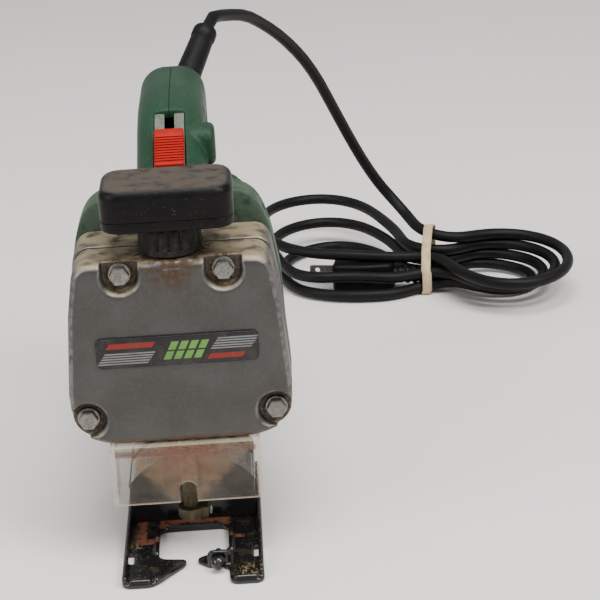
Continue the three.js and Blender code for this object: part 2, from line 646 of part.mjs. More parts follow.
function tiltScrew() {
  const head = barZ(4, ARCH_RADIUS - 9.5, ARCH_RADIUS - 6.2, 0, 95, 6);
  return join(head, barZ(2.2, ARCH_RADIUS - 7, CASE_BOTTOM + 2, 0, 95, 12));
}
const tiltWasher = () => cut(
  box(-4.2, 4.2, 87, 103, ARCH_RADIUS - 5.8, ARCH_RADIUS - 3.6),
  barZ(2.2 + GAP, 20, 60, 0, 95, 12),
);
function fenceClampScrew() {
  const { x, y: z } = EAR_SCREW;
  const ball = solid(new THREE.SphereGeometry(3.5, 14, 10).rotateX(Math.PI / 2))
    .translate([x, EAR_FRONT - 3.2, z]);
  const behind = box(0, 30, EAR_FRONT + 0.2 - GAP, 40, -5, 20);
  const slot = box(x - 0.6, x + 0.6, EAR_FRONT - 10, EAR_FRONT - 5.6, -2, 12);
  const shank = barY(1.5, EAR_FRONT - 2, EAR_FRONT + 9, x, z, 12);
  return join(cut(ball, behind, slot), shank);
}

// ---- cord, hank and plug ----
const strainRelief = () => join(
  onCordLine(6.2, -5, 17),
  onCordLine(7.3, 16, 50, 6.4),
  onCordLine(6.9, 49, 56, 6),
);
const RELIEF_END = 56 + GAP;
// Route of the loose stretch, from the strain relief over and down to the hank.
function cordRoute() {
  const start = CORD_EXIT.clone().addScaledVector(CORD_LEAN, RELIEF_END);
  const next = CORD_EXIT.clone().addScaledVector(CORD_LEAN, RELIEF_END + 8);
  const points = [
    [31, 301, 201],
    [40.8, 320, 196],
    [49.3, 336, 188],
    [58, 350, 178.5],
    [66.8, 364, 167],
    [75.3, 376, 154],
    [83.5, 387.5, 138],
    [92.2, 399, 117.5],
    [101.1, 410, 96.5],
    [109.7, 419.5, 77.5],
    [116.2, 425, 65],
    [122, 427.5, 55.5],
    [128, 427.5, 47.5],
  ].map((at) => new THREE.Vector3(...at));
  return new THREE.CatmullRomCurve3([start, next, ...points]);
}
function cordLead() {
  const section = new THREE.Shape().absarc(0, 0, CORD_RADIUS, 0, 2 * Math.PI);
  return new THREE.ExtrudeGeometry(section, {
    steps: 18,
    curveSegments: 4,
    bevelEnabled: false,
    extrudePath: cordRoute(),
  });
}
const HANK_HEIGHT = 36;
function cordHank() {
  const outline = [
    [149, 353], [168, 326], [192, 312], [216, 316], [234, 336], [238, 363], [229, 391],
    [207, 403], [180, 402], [152, 404], [137, 434], [126, 470], [108, 499], [84, 509],
    [56, 500], [41, 474], [40, 437], [49, 402], [58, 376], [82, 358], [116, 355],
  ].map(([x, y]) => new THREE.Vector2(x, y));
  const smooth = new THREE.SplineCurve([...outline, outline[0]]);
  const shape = new THREE.Shape(smooth.getPoints(42).slice(0, -1));
  const plugRoom = alongZ(rectangle(-46, 38, -15, 15, 13), -1, 60, 0, 3)
    .rotate([0, 0, PLUG_TURN])
    .translate([PLUG_AT.x, PLUG_AT.y, 0]);
  return cut(alongZ(shape, 0.2, HANK_HEIGHT, 3), plugRoom);
}
const PLUG_AT = new THREE.Vector2(112, 384);
const PLUG_TURN = -12; // degrees about z
// Moulded plug drawn along x with its prongs towards -x, and then laid in the hank.
function inHank(body) {
  return body.rotate([0, 0, PLUG_TURN]).translate([PLUG_AT.x, PLUG_AT.y, 0]);
}
const PRONG_SPREAD = 12.7 / 2;
function plugBody() {
  const grip = alongZ(roundedShape([
    [-25, -11.5], [-6, -12], [14, -8], [14, 8], [-6, 12], [-25, 11.5],
  ], 4.5), 1, 19, 2, 2);
  const tail = barX(5.4, 12, 35, 0, 10, 12);
  const holes = [-1, 1].map((side) =>
    box(-30, -20, side * PRONG_SPREAD - 1.1, side * PRONG_SPREAD + 1.1, 6.5, 13.5));
  return cut(join(grip, tail), ...holes);
}
function plugProng(side) {
  const y = side * PRONG_SPREAD;
  const blade = box(-42, -20.5, y - 0.75, y + 0.75, 6.9, 13.1);
  return cut(blade, barY(1.6, y - 4, y + 4, -37, 10, 10));
}
// ---- assembly ----
add("front_cover", frontCover(), castAluminium());
add("gear_housing", gearHousing(), castAluminium());
addCoverScrews();
add("name_plate", namePlate(), blackPlastic());
add("knob_cap", knobCap(), blackPlastic());
add("knob_base", knobBase(), blackPlastic());
add("lock_collar", lockCollar(), blackPlastic());
add("scroller_sleeve", scrollerSleeve(), gearSteel());
add("plunger", plunger(), greasySteel());
add("blade_clamp", bladeClamp(), greasySteel());
add("blade_clamp_screw", clampScrew(), zincSteel());
add("plunger_bushing", lowerBushing(), bronze());
add("crank_yoke", yoke(), gearSteel());
add("drive_gear", driveGear(), gearSteel());
add("gear_axle", gearAxle(), gearSteel());
add("front_bearing", bearing(...FRONT_BEARING), gearSteel());
add("rear_bearing", bearing(...REAR_BEARING), gearSteel());
add("armature_shaft", armatureShaft(), gearSteel());
add("armature_core", armatureCore(), gearSteel());
add("commutator", commutator(), copper());
add("cooling_fan", coolingFan(), blackPlastic());
add("field_core", fieldCore(), gearSteel());
add("field_coil_upper", fieldCoil(1), copper());
add("field_coil_lower", fieldCoil(-1), copper());
add("brush_left", brush(1), carbon());
add("brush_right", brush(-1), carbon());
add("brush_holder_left", brushHolder(1), bronze());
add("brush_holder_right", brushHolder(-1), bronze());
addShells();
add("slide_button", slideButton(), redPlastic());
add("switch_plate", switchPlate(), greasySteel());
add("switch_body", switchBody(), insulation());
add("chip_shield", chipShield(), clearPlastic());
add("shoe", shoe(), blackPaintedSteel());
add("shoe_bracket", shoeBracket(), blackPaintedSteel());
add("tilt_screw", tiltScrew(), zincSteel());
add("tilt_washer", tiltWasher(), zincSteel());
add("fence_clamp_screw", fenceClampScrew(), zincSteel());
add("strain_relief", strainRelief(), cordRubber());
add("cord_lead", cordLead(), cordRubber());
add("cord_hank", cordHank(), cordRubber());
add("plug_body", inHank(plugBody()), cordRubber());
add("plug_prong_1", inHank(plugProng(1)), gearSteel());
add("plug_prong_2", inHank(plugProng(-1)), gearSteel());

const jigsaw = new THREE.Group();
jigsaw.add(tool);
export default jigsaw;
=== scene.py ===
"""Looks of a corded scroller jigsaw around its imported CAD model.

Shapes are written in millimetres: x from the plane of symmetry, y from the front edge of the shoe
backwards, z up from the sole. place() turns such a point into the frame's metres.
"""

import math

import bmesh
import bpy
import numpy as np
from mathutils import Matrix, Vector


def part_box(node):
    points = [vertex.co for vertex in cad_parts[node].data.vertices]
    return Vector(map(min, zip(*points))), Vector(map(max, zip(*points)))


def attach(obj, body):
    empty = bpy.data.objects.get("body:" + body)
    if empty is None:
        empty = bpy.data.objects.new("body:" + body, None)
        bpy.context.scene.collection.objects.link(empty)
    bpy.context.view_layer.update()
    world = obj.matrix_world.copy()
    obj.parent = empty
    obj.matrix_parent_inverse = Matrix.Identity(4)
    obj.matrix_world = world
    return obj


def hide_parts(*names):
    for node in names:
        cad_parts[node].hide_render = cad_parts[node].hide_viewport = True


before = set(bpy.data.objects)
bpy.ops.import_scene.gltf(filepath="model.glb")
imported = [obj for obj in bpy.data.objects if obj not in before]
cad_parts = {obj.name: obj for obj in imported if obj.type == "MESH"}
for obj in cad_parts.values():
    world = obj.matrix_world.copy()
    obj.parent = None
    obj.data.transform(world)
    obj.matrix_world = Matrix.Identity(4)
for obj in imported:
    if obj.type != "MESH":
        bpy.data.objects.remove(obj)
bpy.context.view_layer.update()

MM = 0.001
SHOE_LOW, SHOE_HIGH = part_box("shoe")
FRONT = SHOE_LOW.y / MM  # the shoe's front edge in the frame, in millimetres


def place(point):
    x, y, z = point
    return Vector((x, y + FRONT, z)) * MM


def cad(node):
    """The box of a CAD node in this script's millimetres: (x0, y0, z0), (x1, y1, z1)."""
    low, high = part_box(node)
    shift = Vector((0, FRONT, 0))
    return low / MM - shift, high / MM - shift


# ---- camera, light and floor ----

CAMERA_AT = (40.1, -810.5, 438.7)
CAMERA_YAW = 1.16
CAMERA_PITCH = 20.37
CAMERA_ROLL = -3.31
CAMERA_LENS = 118.8


def make_camera():
    data = bpy.data.cameras.new("camera")
    data.lens = CAMERA_LENS
    data.clip_end = 20
    camera = bpy.data.objects.new("camera", data)
    turn = (
        Matrix.Rotation(math.radians(-CAMERA_YAW), 4, "Z")
        @ Matrix.Rotation(math.radians(90 - CAMERA_PITCH), 4, "X")
        @ Matrix.Rotation(math.radians(CAMERA_ROLL), 4, "Z")
    )
    camera.matrix_world = Matrix.Translation(place(CAMERA_AT)) @ turn
    bpy.context.scene.collection.objects.link(camera)
    bpy.context.scene.camera = camera


def make_area_light(name, at, aim, size, power, color=(1, 1, 1)):
    data = bpy.data.lights.new(name, "AREA")
    data.shape = "DISK"
    data.size = size
    data.energy = power
    data.color = color
    light = bpy.data.objects.new(name, data)
    light.location = at
    light.rotation_euler = (Vector(aim) - Vector(at)).to_track_quat("-Z", "Y").to_euler()
    bpy.context.scene.collection.objects.link(light)


def make_world(color, strength):
    world = bpy.data.worlds.new("studio")
    bpy.context.scene.world = world
    world.use_nodes = True
    background = world.node_tree.nodes["Background"]
    background.inputs["Color"].default_value = (*color, 1)
    background.inputs["Strength"].default_value = strength


# ---- materials ----


class Surface:
    """A procedural material: a base, layers laid over it by masks, and grain in the bump."""

    def __init__(self, name, color, roughness, metallic=0.0, gloss=0.5):
        self.material = bpy.data.materials.new(name)
        self.material.use_nodes = True
        self.tree = self.material.node_tree
        self.shader = self.tree.nodes["Principled BSDF"]
        self.shader.inputs["Metallic"].default_value = metallic
        self.shader.inputs["Specular IOR Level"].default_value = gloss
        self.place = self.add("ShaderNodeTexCoord").outputs["Object"]
        self.normal = self.add("ShaderNodeNewGeometry").outputs["Normal"]
        self.color = self.value_color(color)
        self.roughness = roughness
        self.height = None

    def add(self, kind):
        return self.tree.nodes.new(kind)

    def join(self, output, socket):
        if hasattr(output, "is_output"):
            self.tree.links.new(output, socket)
        else:
            socket.default_value = output

    def value_color(self, color):
        return (*color, 1) if len(color) == 3 else color

    def math(self, operation, first, second=0.0):
        node = self.add("ShaderNodeMath")
        node.operation = operation
        self.join(first, node.inputs[0])
        self.join(second, node.inputs[1])
        return node.outputs[0]

    def step(self, value, low, high):
        """0 below low, 1 above high, and a smooth rise between them."""
        node = self.add("ShaderNodeMapRange")
        node.interpolation_type = "SMOOTHSTEP"
        self.join(value, node.inputs["Value"])
        node.inputs["From Min"].default_value = low
        node.inputs["From Max"].default_value = high
        return node.outputs["Result"]

    def noise(self, size, low=0.35, high=0.65, stretch=(1, 1, 1), detail=4, seed=0.0):
        """Blotches about size millimetres across, from 0 to 1."""
        mapping = self.add("ShaderNodeMapping")
        mapping.inputs["Scale"].default_value = stretch
        mapping.inputs["Location"].default_value = (seed, seed, seed)
        self.join(self.place, mapping.inputs["Vector"])
        node = self.add("ShaderNodeTexNoise")
        node.inputs["Scale"].default_value = 1 / (size * MM)
        node.inputs["Detail"].default_value = detail
        self.join(mapping.outputs[0], node.inputs["Vector"])
        return self.step(node.outputs[0], low, high)

    def axis(self, vector, index):
        node = self.add("ShaderNodeSeparateXYZ")
        self.join(vector, node.inputs[0])
        return node.outputs[index]

    def facing_up(self, low=0.4, high=0.9):
        return self.step(self.axis(self.normal, 2), low, high)

    def between(self, index, low, high, soft=1.5):
        """1 where a coordinate lies between two planes in millimetres; index 0, 1, 2 is x, y, z."""
        shift = FRONT if index == 1 else 0
        value = self.math("DIVIDE", self.axis(self.place, index), MM)
        rise = self.step(value, low + shift - soft, low + shift + soft)
        fall = self.step(value, high + shift - soft, high + shift + soft)
        return self.math("SUBTRACT", rise, fall)

    def near(self, point, inner, outer):
        """1 within inner millimetres of a point, falling to 0 at outer."""
        node = self.add("ShaderNodeVectorMath")
        node.operation = "DISTANCE"
        self.join(self.place, node.inputs[0])
        node.inputs[1].default_value = place(point)
        away = self.step(node.outputs["Value"], inner * MM, outer * MM)
        return self.math("SUBTRACT", 1.0, away)

    def both(self, *masks):
        whole = masks[0]
        for mask in masks[1:]:
            whole = self.math("MULTIPLY", whole, mask)
        return whole

    def either(self, *masks):
        whole = masks[0]
        for mask in masks[1:]:
            whole = self.math("MAXIMUM", whole, mask)
        return whole

    def layer(self, mask, color, roughness=None, amount=1.0):
        weight = self.math("MULTIPLY", mask, amount)
        mix = self.add("ShaderNodeMix")
        mix.data_type = "RGBA"
        self.join(weight, mix.inputs["Factor"])
        self.join(self.color, mix.inputs["A"])
        self.join(self.value_color(color), mix.inputs["B"])
        self.color = mix.outputs["Result"]
        if roughness is not None:
            rough = self.add("ShaderNodeMix")
            self.join(weight, rough.inputs["Factor"])
            self.join(self.roughness, rough.inputs["A"])
            self.join(roughness, rough.inputs["B"])
            self.roughness = rough.outputs["Result"]
        return self

    def bump(self, mask, height):
        """Raises the surface by height millimetres where the mask is 1."""
        lift = self.math("MULTIPLY", mask, height * MM)
        self.height = lift if self.height is None else self.math("ADD", self.height, lift)
        return self

    def done(self):
        self.join(self.color, self.shader.inputs["Base Color"])
        self.join(self.roughness, self.shader.inputs["Roughness"])
        if self.height is not None:
            node = self.add("ShaderNodeBump")
            node.inputs["Distance"].default_value = 1.0
            self.join(self.height, node.inputs["Height"])
            self.join(node.outputs[0], self.shader.inputs["Normal"])
        return self.material


WOOD_DUST = (0.36, 0.25, 0.12)
RUST = (0.15, 0.047, 0.02)
BROWN_STAIN = (0.085, 0.045, 0.02)


def cast_aluminium():
    s = Surface("cast_aluminium", (0.068, 0.067, 0.063), 0.42, 0.8)
    s.layer(s.noise(24), (0.055, 0.054, 0.050), 0.48, 0.7)
    s.layer(s.noise(2.2, 0.5, 0.75), (0.095, 0.093, 0.088), 0.4, 0.3)
    s.layer(s.noise(5, 0.56, 0.7, seed=3), (0.05, 0.046, 0.04), 0.56, 0.22)
    # Painted highlight: a light grey on the faces that turn partly towards the front, the rounded
    # forward rims of the casting.
    forward = s.math("MULTIPLY", s.axis(s.normal, 1), -1)
    edge = s.math("SUBTRACT", s.step(forward, 0.25, 0.5), s.step(forward, 0.86, 0.96))
    s.layer(s.both(edge, s.noise(4, 0.3, 0.6)), (0.22, 0.215, 0.20), 0.36, 0.5)
    s.layer(s.both(s.facing_up(), s.noise(9, 0.25, 0.6)), (0.40, 0.32, 0.21), 0.75, 0.85)
    collar = (0, COLLAR_Y, CASTING_TOP)
    s.layer(s.both(s.near(collar, 15, 24), s.noise(3, 0.35, 0.6)), BROWN_STAIN, 0.8, 0.85)
    for x, z in COVER_SCREWS:
        pocket = s.near((x, SCREW_SEAT - 1, z), 5.5, 10.5)
        s.layer(s.both(pocket, s.noise(1.6, 0.35, 0.6)), BROWN_STAIN, 0.85, 0.85)
    chip = s.both(s.between(2, CASTING_BOTTOM - 4, CASTING_BOTTOM + 3), s.noise(2, 0.3, 0.6))
    s.layer(chip, (0.16, 0.10, 0.05), 0.85, 0.6)
    s.bump(s.noise(0.9, 0.3, 0.7), 0.05)
    s.bump(s.noise(6, 0.3, 0.7), 0.08)
    return s.done()


def green_plastic():
    s = Surface("green_plastic", (0.009, 0.034, 0.016), 0.44, gloss=0.16)
    s.layer(s.noise(20), (0.012, 0.042, 0.020), 0.4, 0.8)
    s.layer(s.both(s.facing_up(0.2, 0.95), s.noise(3, 0.4, 0.75)), (0.03, 0.055, 0.032), 0.6, 0.3)
    # Painted light: the shells' front collar, beside the casting, is lighter green in blotches, as
    # if lit.
    front = s.both(s.between(1, 70, 104, 4), s.noise(5, 0.2, 0.6))
    s.layer(front, (0.075, 0.095, 0.07), 0.55, 0.6)
    scratches = s.noise(1.3, 0.63, 0.69, stretch=(1, 0.22, 1), seed=2)
    s.layer(scratches, (0.05, 0.085, 0.052), 0.6, 0.4)
    s.layer(s.noise(1.1, 0.66, 0.74), (0.12, 0.13, 0.09), 0.8, 0.4)
    s.bump(s.noise(0.55, 0.3, 0.7), 0.055)
    s.bump(s.noise(1.3, 0.35, 0.65, seed=7), 0.05)
    return s.done()


def black_plastic():
    s = Surface("black_plastic", (0.0028, 0.0027, 0.0027), 0.38, gloss=0.12)
    s.layer(s.noise(12), (0.0045, 0.0042, 0.004), 0.48, 0.8)
    s.layer(s.both(s.facing_up(0.7, 0.98), s.noise(7, 0.15, 0.55)), (0.07, 0.056, 0.045), 0.6, 0.8)
    s.layer(s.noise(0.7, 0.67, 0.74), (0.16, 0.135, 0.10), 0.8, 0.4)
    s.bump(s.noise(0.8, 0.3, 0.7), 0.03)
    return s.done()


def collar_black():
    s = Surface("collar_black", (0.005, 0.0048, 0.0045), 0.5, gloss=0.2)
    s.layer(s.noise(2.5, 0.48, 0.72), (0.045, 0.028, 0.014), 0.75, 0.6)
    s.layer(s.facing_up(0.5, 0.9), (0.06, 0.042, 0.026), 0.8, 0.6)
    s.bump(s.noise(0.8, 0.3, 0.7), 0.04)
    return s.done()


def red_plastic():
    s = Surface("red_plastic", (0.30, 0.006, 0.003), 0.42, gloss=0.15)
    s.layer(s.noise(6), (0.24, 0.005, 0.003), 0.46, 0.6)
    s.layer(s.noise(0.8, 0.64, 0.74), (0.32, 0.09, 0.06), 0.7, 0.3)
    s.bump(s.noise(0.7, 0.3, 0.7), 0.02)
    return s.done()


def dust_plate():
    s = Surface("dust_plate", (0.12, 0.13, 0.105), 0.5, 0.35)
    s.layer(s.noise(2.5, 0.35, 0.65), (0.20, 0.20, 0.16), 0.7, 0.7)
    s.bump(s.noise(0.7, 0.3, 0.7), 0.03)
    return s.done()


def black_paint():
    s = Surface("black_paint", (0.006, 0.006, 0.0065), 0.2, gloss=0.4)
    s.shader.inputs["Coat Weight"].default_value = 0.25
    up = s.facing_up(0.5, 0.9)
    s.layer(s.both(up, s.noise(7, 0.46, 0.66)), (0.028, 0.02, 0.011), 0.5, 0.7)
    fibres = s.noise(0.8, 0.64, 0.7, stretch=(1, 0.35, 1), seed=5)
    s.layer(s.both(up, fibres), WOOD_DUST, 0.85, 0.22)
    crumbs = s.noise(0.5, 0.68, 0.74, seed=9)
    s.layer(s.both(up, crumbs), WOOD_DUST, 0.9, 0.4)
    behind = s.both(
        s.between(1, OPENING_BACK + 1, OPENING_BACK + 10, 1.2),
        s.between(0, -17, 17, 1.5),
    )
    strip = s.both(s.between(0, -28, -23, 1), s.between(1, 44, 85, 2))
    foot = s.both(s.between(0, -28, -14, 1), s.between(1, 42, 47, 1))
    other = s.both(s.between(0, 17, 24, 1), s.between(1, 44, 47, 1))
    rusty = s.both(s.either(behind, strip, foot, other), s.noise(2.6, 0.32, 0.5), up)
    s.layer(rusty, RUST, 0.85, 0.95)
    s.layer(s.both(rusty, s.noise(0.8, 0.5, 0.7)), (0.21, 0.08, 0.032), 0.9, 0.7)
    corner = s.either(s.near((27, 9, 2), 3, 10), s.near((-29, 40, 2), 2, 6))
    strokes = s.noise(1.1, 0.5, 0.62, stretch=(1, 0.5, 1), seed=4)
    s.layer(s.both(corner, strokes, up), (0.19, 0.135, 0.05), 0.9, 0.7)
    s.bump(s.both(rusty, s.noise(0.7, 0.3, 0.7)), 0.12)
    s.bump(s.noise(4, 0.3, 0.7), 0.05)
    return s.done()


def steel(name, color, roughness, stain=0.4, metallic=0.85):
    s = Surface(name, color, roughness, metallic)
    s.layer(s.noise(3, 0.35, 0.65), tuple(c * 0.72 for c in color), roughness + 0.12, 0.7)
    s.layer(s.noise(1.4, 0.52, 0.68), (0.12, 0.085, 0.05), 0.75, stain)
    s.bump(s.noise(0.6, 0.3, 0.7), 0.02)
    return s.done()


def plain(name, color, roughness, metallic=0.0, grain=1.0):
    s = Surface(name, color, roughness, metallic)
    s.layer(s.noise(5, 0.35, 0.65), tuple(c * 0.75 for c in color), roughness + 0.08, 0.7)
    s.bump(s.noise(grain, 0.3, 0.7), 0.03)
    return s.done()


def clear_pane():
    s = Surface("clear_pane", (0.16, 0.14, 0.11), 0.1)
    s.layer(s.noise(2.5, 0.55, 0.75, stretch=(1, 1, 0.6)), (0.30, 0.22, 0.13), 0.6, 0.6)
    across = s.math("ABSOLUTE", s.math("DIVIDE", s.axis(s.place, 0), MM))
    height = s.math("DIVIDE", s.axis(s.place, 2), MM)
    reach = s.math("ADD", 6, s.math("MULTIPLY", s.math("SUBTRACT", height, SHIELD_BOTTOM), 0.9))
    inside = s.step(s.math("SUBTRACT", reach, across), -2.5, 2.5)
    amber = s.both(inside, s.noise(2.2, 0.25, 0.6))
    s.layer(amber, (0.24, 0.145, 0.06), 0.5, 0.75)
    red = s.both(s.near((0, 28, SHIELD_TOP - 3), 9, 20), s.noise(4, 0.3, 0.6))
    s.layer(red, (0.13, 0.032, 0.018), 0.6, 0.7)
    # Painted shadow: a dark reddish band just under the top ledge, the shade of the cover's bottom
    # edge painted on the pane, which is also made less clear there.
    strip = s.both(s.between(2, SHIELD_TOP - 5.2, SHIELD_TOP - 2.8, 0.4), s.noise(6, 0.2, 0.5))
    s.layer(strip, (0.085, 0.035, 0.024), 0.5, 0.85)
    haze = s.math("MULTIPLY", s.noise(5, 0.35, 0.7), 0.06)
    specks = s.math("MULTIPLY", s.noise(1.6, 0.6, 0.8), 0.10)
    tint = s.math("ADD", s.math("MULTIPLY", red, 0.3), s.math("MULTIPLY", amber, 0.22))
    alpha = s.math("ADD", s.math("ADD", haze, specks), s.math("ADD", tint, 0.10))
    s.join(s.math("ADD", alpha, s.math("MULTIPLY", strip, 0.45)), s.shader.inputs["Alpha"])
    return s.done()


# Painted glow: a cream, half-clear colour for the pane's rims, standing in for light gathered in
# the plastic's edges.
def painted_glow_rim():
    s = Surface("painted_glow_rim", (0.55, 0.47, 0.35), 0.22)
    s.layer(s.noise(3), (0.48, 0.39, 0.27), 0.3, 0.7)
    s.shader.inputs["Alpha"].default_value = 0.42
    return s.done()


def plate_print():
    """Black plate with plain printed bars: silver lines, red rules and green blocks."""
    s = Surface("plate_print", (0.006, 0.006, 0.0065), 0.3, gloss=0.3)
    s.layer(s.noise(10), (0.012, 0.0115, 0.011), 0.4, 0.7)
    low, high = cad("name_plate")
    middle = (low.z + high.z) / 2
    x = s.math("DIVIDE", s.axis(s.place, 0), MM)
    z = s.math("SUBTRACT", s.math("DIVIDE", s.axis(s.place, 2), MM), middle)

    def block(x0, x1, z0, z1, slant=0.0):
        along = s.math("ADD", x, s.math("MULTIPLY", z, slant))
        start = s.step(along, x0 - 0.15, x0 + 0.15)
        end = s.step(along, x1 - 0.15, x1 + 0.15)
        return s.both(
            s.math("SUBTRACT", start, end),
            s.between(2, middle + z0, middle + z1, 0.15),
        )

    def bars(value, period, share):
        part = s.math("FRACT", s.math("DIVIDE", s.math("ADD", value, 400), period))
        return s.math("LESS_THAN", part, share)

    silver = s.either(
        s.both(block(-33, -10, -5.4, 0.6, -0.7), bars(z, 1.2, 0.55)),
        s.both(block(15.5, 34, -0.4, 5.4, -0.7), bars(z, 1.2, 0.55)),
    )
    red = s.either(block(-34, -13, 2.4, 4.9, -0.7), block(17, 33, -5.0, -2.6, -0.7))
    slanted = s.math("SUBTRACT", x, s.math("MULTIPLY", z, 0.5))
    green = s.both(block(-5.5, 12.8, -4.1, 4.4, -0.5), bars(slanted, 4.6, 0.72))
    split = s.math("SUBTRACT", 1.0, s.between(2, middle - 0.3, middle + 0.5, 0.12))
    s.layer(silver, (0.17, 0.175, 0.17), 0.35, 0.9)
    s.layer(red, (0.20, 0.010, 0.006), 0.4, 0.9)
    s.layer(s.both(green, split), (0.105, 0.27, 0.04), 0.4, 0.9)
    s.layer(s.noise(0.7, 0.66, 0.73), (0.30, 0.27, 0.21), 0.7, 0.5)
    s.layer(s.noise(6, 0.45, 0.75), (0.05, 0.042, 0.033), 0.6, 0.35)
    s.bump(s.noise(1.2, 0.3, 0.7), 0.01)
    return s.done()


def cord_rubber():
    s = Surface("cord_rubber", (0.0038, 0.0036, 0.0035), 0.45, gloss=0.14)
    s.layer(s.noise(15), (0.006, 0.0056, 0.0054), 0.52, 0.7)
    s.layer(s.noise(1.2, 0.63, 0.71), (0.035, 0.032, 0.027), 0.7, 0.4)
    s.bump(s.noise(1.5, 0.3, 0.7), 0.03)
    return s.done()


# ---- shapes ----


def rounded(points, radius, steps=6):
    """A closed outline whose corners are arcs that start at the given distance from each corner."""
    outline = []
    corners = [Vector(p) for p in points]
    for i, corner in enumerate(corners):
        before = corners[i - 1] - corner
        after = corners[(i + 1) % len(corners)] - corner
        run = min(radius, before.length * 0.48, after.length * 0.48)
        start = corner + before.normalized() * run
        end = corner + after.normalized() * run
        half = before.angle(after) / 2
        if half > 1.5:
            outline.append(corner)
            continue
        bisector = (before.normalized() + after.normalized()).normalized()
        centre = corner + bisector * (run / math.cos(half))
        radius_here = run * math.tan(half)
        for k in range(steps + 1):
            spoke = (start - centre).slerp(end - centre, k / steps)
            outline.append(centre + spoke.normalized() * radius_here)
    return outline


def rectangle(x0, x1, y0, y1, radius, steps=6):
    return rounded([(x0, y0), (x1, y0), (x1, y1), (x0, y1)], radius, steps)


def mirrored(half, radius, steps=6):
    """An outline with the same half on both sides of x = 0, from bottom to top."""
    return rounded(half + [(-x, z) for x, z in reversed(half)], radius, steps)


def circle(x, y, radius, sides=32):
    turn = 2 * math.pi / sides
    return [
        Vector((x + radius * math.cos(i * turn), y + radius * math.sin(i * turn)))
        for i in range(sides)
    ]


def inset(outline, distance):
    """The outline moved inwards along its own normals."""
    area = sum(
        a.x * b.y - b.x * a.y for a, b in zip(outline, outline[1:] + outline[:1])
    )
    side = 1 if area > 0 else -1
    moved = []
    for i, point in enumerate(outline):
        before = (point - outline[i - 1]).normalized()
        after = (outline[(i + 1) % len(outline)] - point).normalized()
        normals = [Vector((-d.y, d.x)) * side for d in (before, after)]
        middle = normals[0] + normals[1]
        if middle.length < 1e-6:
            middle = normals[0]
        middle.normalize()
        lean = max(0.4, middle.dot(normals[0]))
        moved.append(point + middle * (distance / lean))
    return moved


AXES = {
    "x": lambda u, v, w: (w, u, v),
    "y": lambda u, v, w: (u, w, v),
    "z": lambda u, v, w: (u, v, w),
}


def loft(loops, ring=False):
    """A solid through loops of points, capped at both ends, or joined into a ring."""
    mesh = bmesh.new()
    made = [[mesh.verts.new(place(point)) for point in loop] for loop in loops]
    following = made[1:] + made[:1] if ring else made[1:]
    for lower, upper in zip(made, following):
        for i in range(len(lower)):
            j = (i + 1) % len(lower)
            mesh.faces.new((lower[i], lower[j], upper[j], upper[i]))
    if not ring:
        mesh.faces.new(list(reversed(made[0])))
        mesh.faces.new(made[-1])
    bmesh.ops.recalc_face_normals(mesh, faces=mesh.faces)
    return as_object(mesh)


def stack(rings, axis):
    """A closed solid through rings, each (position along the axis, outline), all of one length."""
    lift = AXES[axis]
    return loft([[lift(p[0], p[1], at) for p in outline] for at, outline in rings])


def as_object(mesh, name="piece"):
    data = bpy.data.meshes.new(name)
    mesh.to_mesh(data)
    mesh.free()
    made = bpy.data.objects.new(name, data)
    bpy.context.scene.collection.objects.link(made)
    return made


def slab(outline, axis, low, high, edge=0.0, far_edge=None, steps=5):
    """A solid with the outline between two planes, its rims rounded by edge and far_edge."""

    def rim(plane, radius):
        """Rings from the flat face at a plane to where the outline has its full size."""
        if not radius:
            return [(plane, outline)]
        turns = [math.pi / 2 * k / steps for k in range(steps + 1)]
        return [
            (
                plane + radius * (1 - math.cos(turn)),
                inset(outline, abs(radius) * (1 - math.sin(turn))),
            )
            for turn in turns
        ]

    far_edge = edge if far_edge is None else far_edge
    return stack(rim(low, edge) + rim(high, -far_edge)[::-1], axis)


def box(x0, x1, y0, y1, z0, z1):
    outline = [Vector(corner) for corner in ((x0, y0), (x1, y0), (x1, y1), (x0, y1))]
    return stack([(z0, outline), (z1, outline)], "z")


def bar(axis, radius, low, high, u, v, sides=32, far=None):
    near_ring = circle(u, v, radius, sides)
    far_ring = circle(u, v, radius if far is None else far, sides)
    return stack([(low, near_ring), (high, far_ring)], axis)


def settle(piece):
    """Replaces a piece's mesh by what its modifiers make of it."""
    shown = piece.evaluated_get(bpy.context.evaluated_depsgraph_get())
    data = bpy.data.meshes.new_from_object(shown)
    piece.modifiers.clear()
    old = piece.data
    piece.data = data
    bpy.data.meshes.remove(old)
    return piece


def combine(piece, tools, operation):
    """Joins a piece with tools, and uses the tools up."""
    for tool in tools:
        modifier = piece.modifiers.new("combine", "BOOLEAN")
        modifier.operation = operation
        modifier.solver = "EXACT"
        modifier.object = tool
    settle(piece)
    for tool in tools:
        bpy.data.objects.remove(tool)
    return piece


def cut(piece, *tools):
    return combine(piece, tools, "DIFFERENCE")


def fuse(piece, *tools):
    return combine(piece, tools, "UNION")


def soften(piece, voxel, passes):
    """Rounds a moulded or cast piece's edges: a fine even mesh, then smoothing."""
    remesh = piece.modifiers.new("remesh", "REMESH")
    remesh.mode = "VOXEL"
    remesh.voxel_size = voxel * MM
    remesh.use_smooth_shade = True
    smooth = piece.modifiers.new("smooth", "SMOOTH")
    smooth.factor = 0.5
    smooth.iterations = passes
    settle(piece)
    for face in piece.data.polygons:
        face.use_smooth = True
    return piece


def crisp(piece, width=0.3, segments=2):
    """Small bevels on the edges of a machined or stamped piece."""
    bevel = piece.modifiers.new("bevel", "BEVEL")
    bevel.width = width * MM
    bevel.segments = segments
    bevel.limit_method = "ANGLE"
    bevel.angle_limit = math.radians(40)
    settle(piece)
    shade_by_angle(piece, 35)
    return piece


def shade_by_angle(piece, degrees):
    """Smooth shading, with every edge sharper than the angle left hard."""
    mesh = bmesh.new()
    mesh.from_mesh(piece.data)
    for face in mesh.faces:
        face.smooth = True
    for edge in mesh.edges:
        if len(edge.link_faces) == 2:
            edge.smooth = edge.calc_face_angle(0) < math.radians(degrees)
    mesh.to_mesh(piece.data)
    mesh.free()


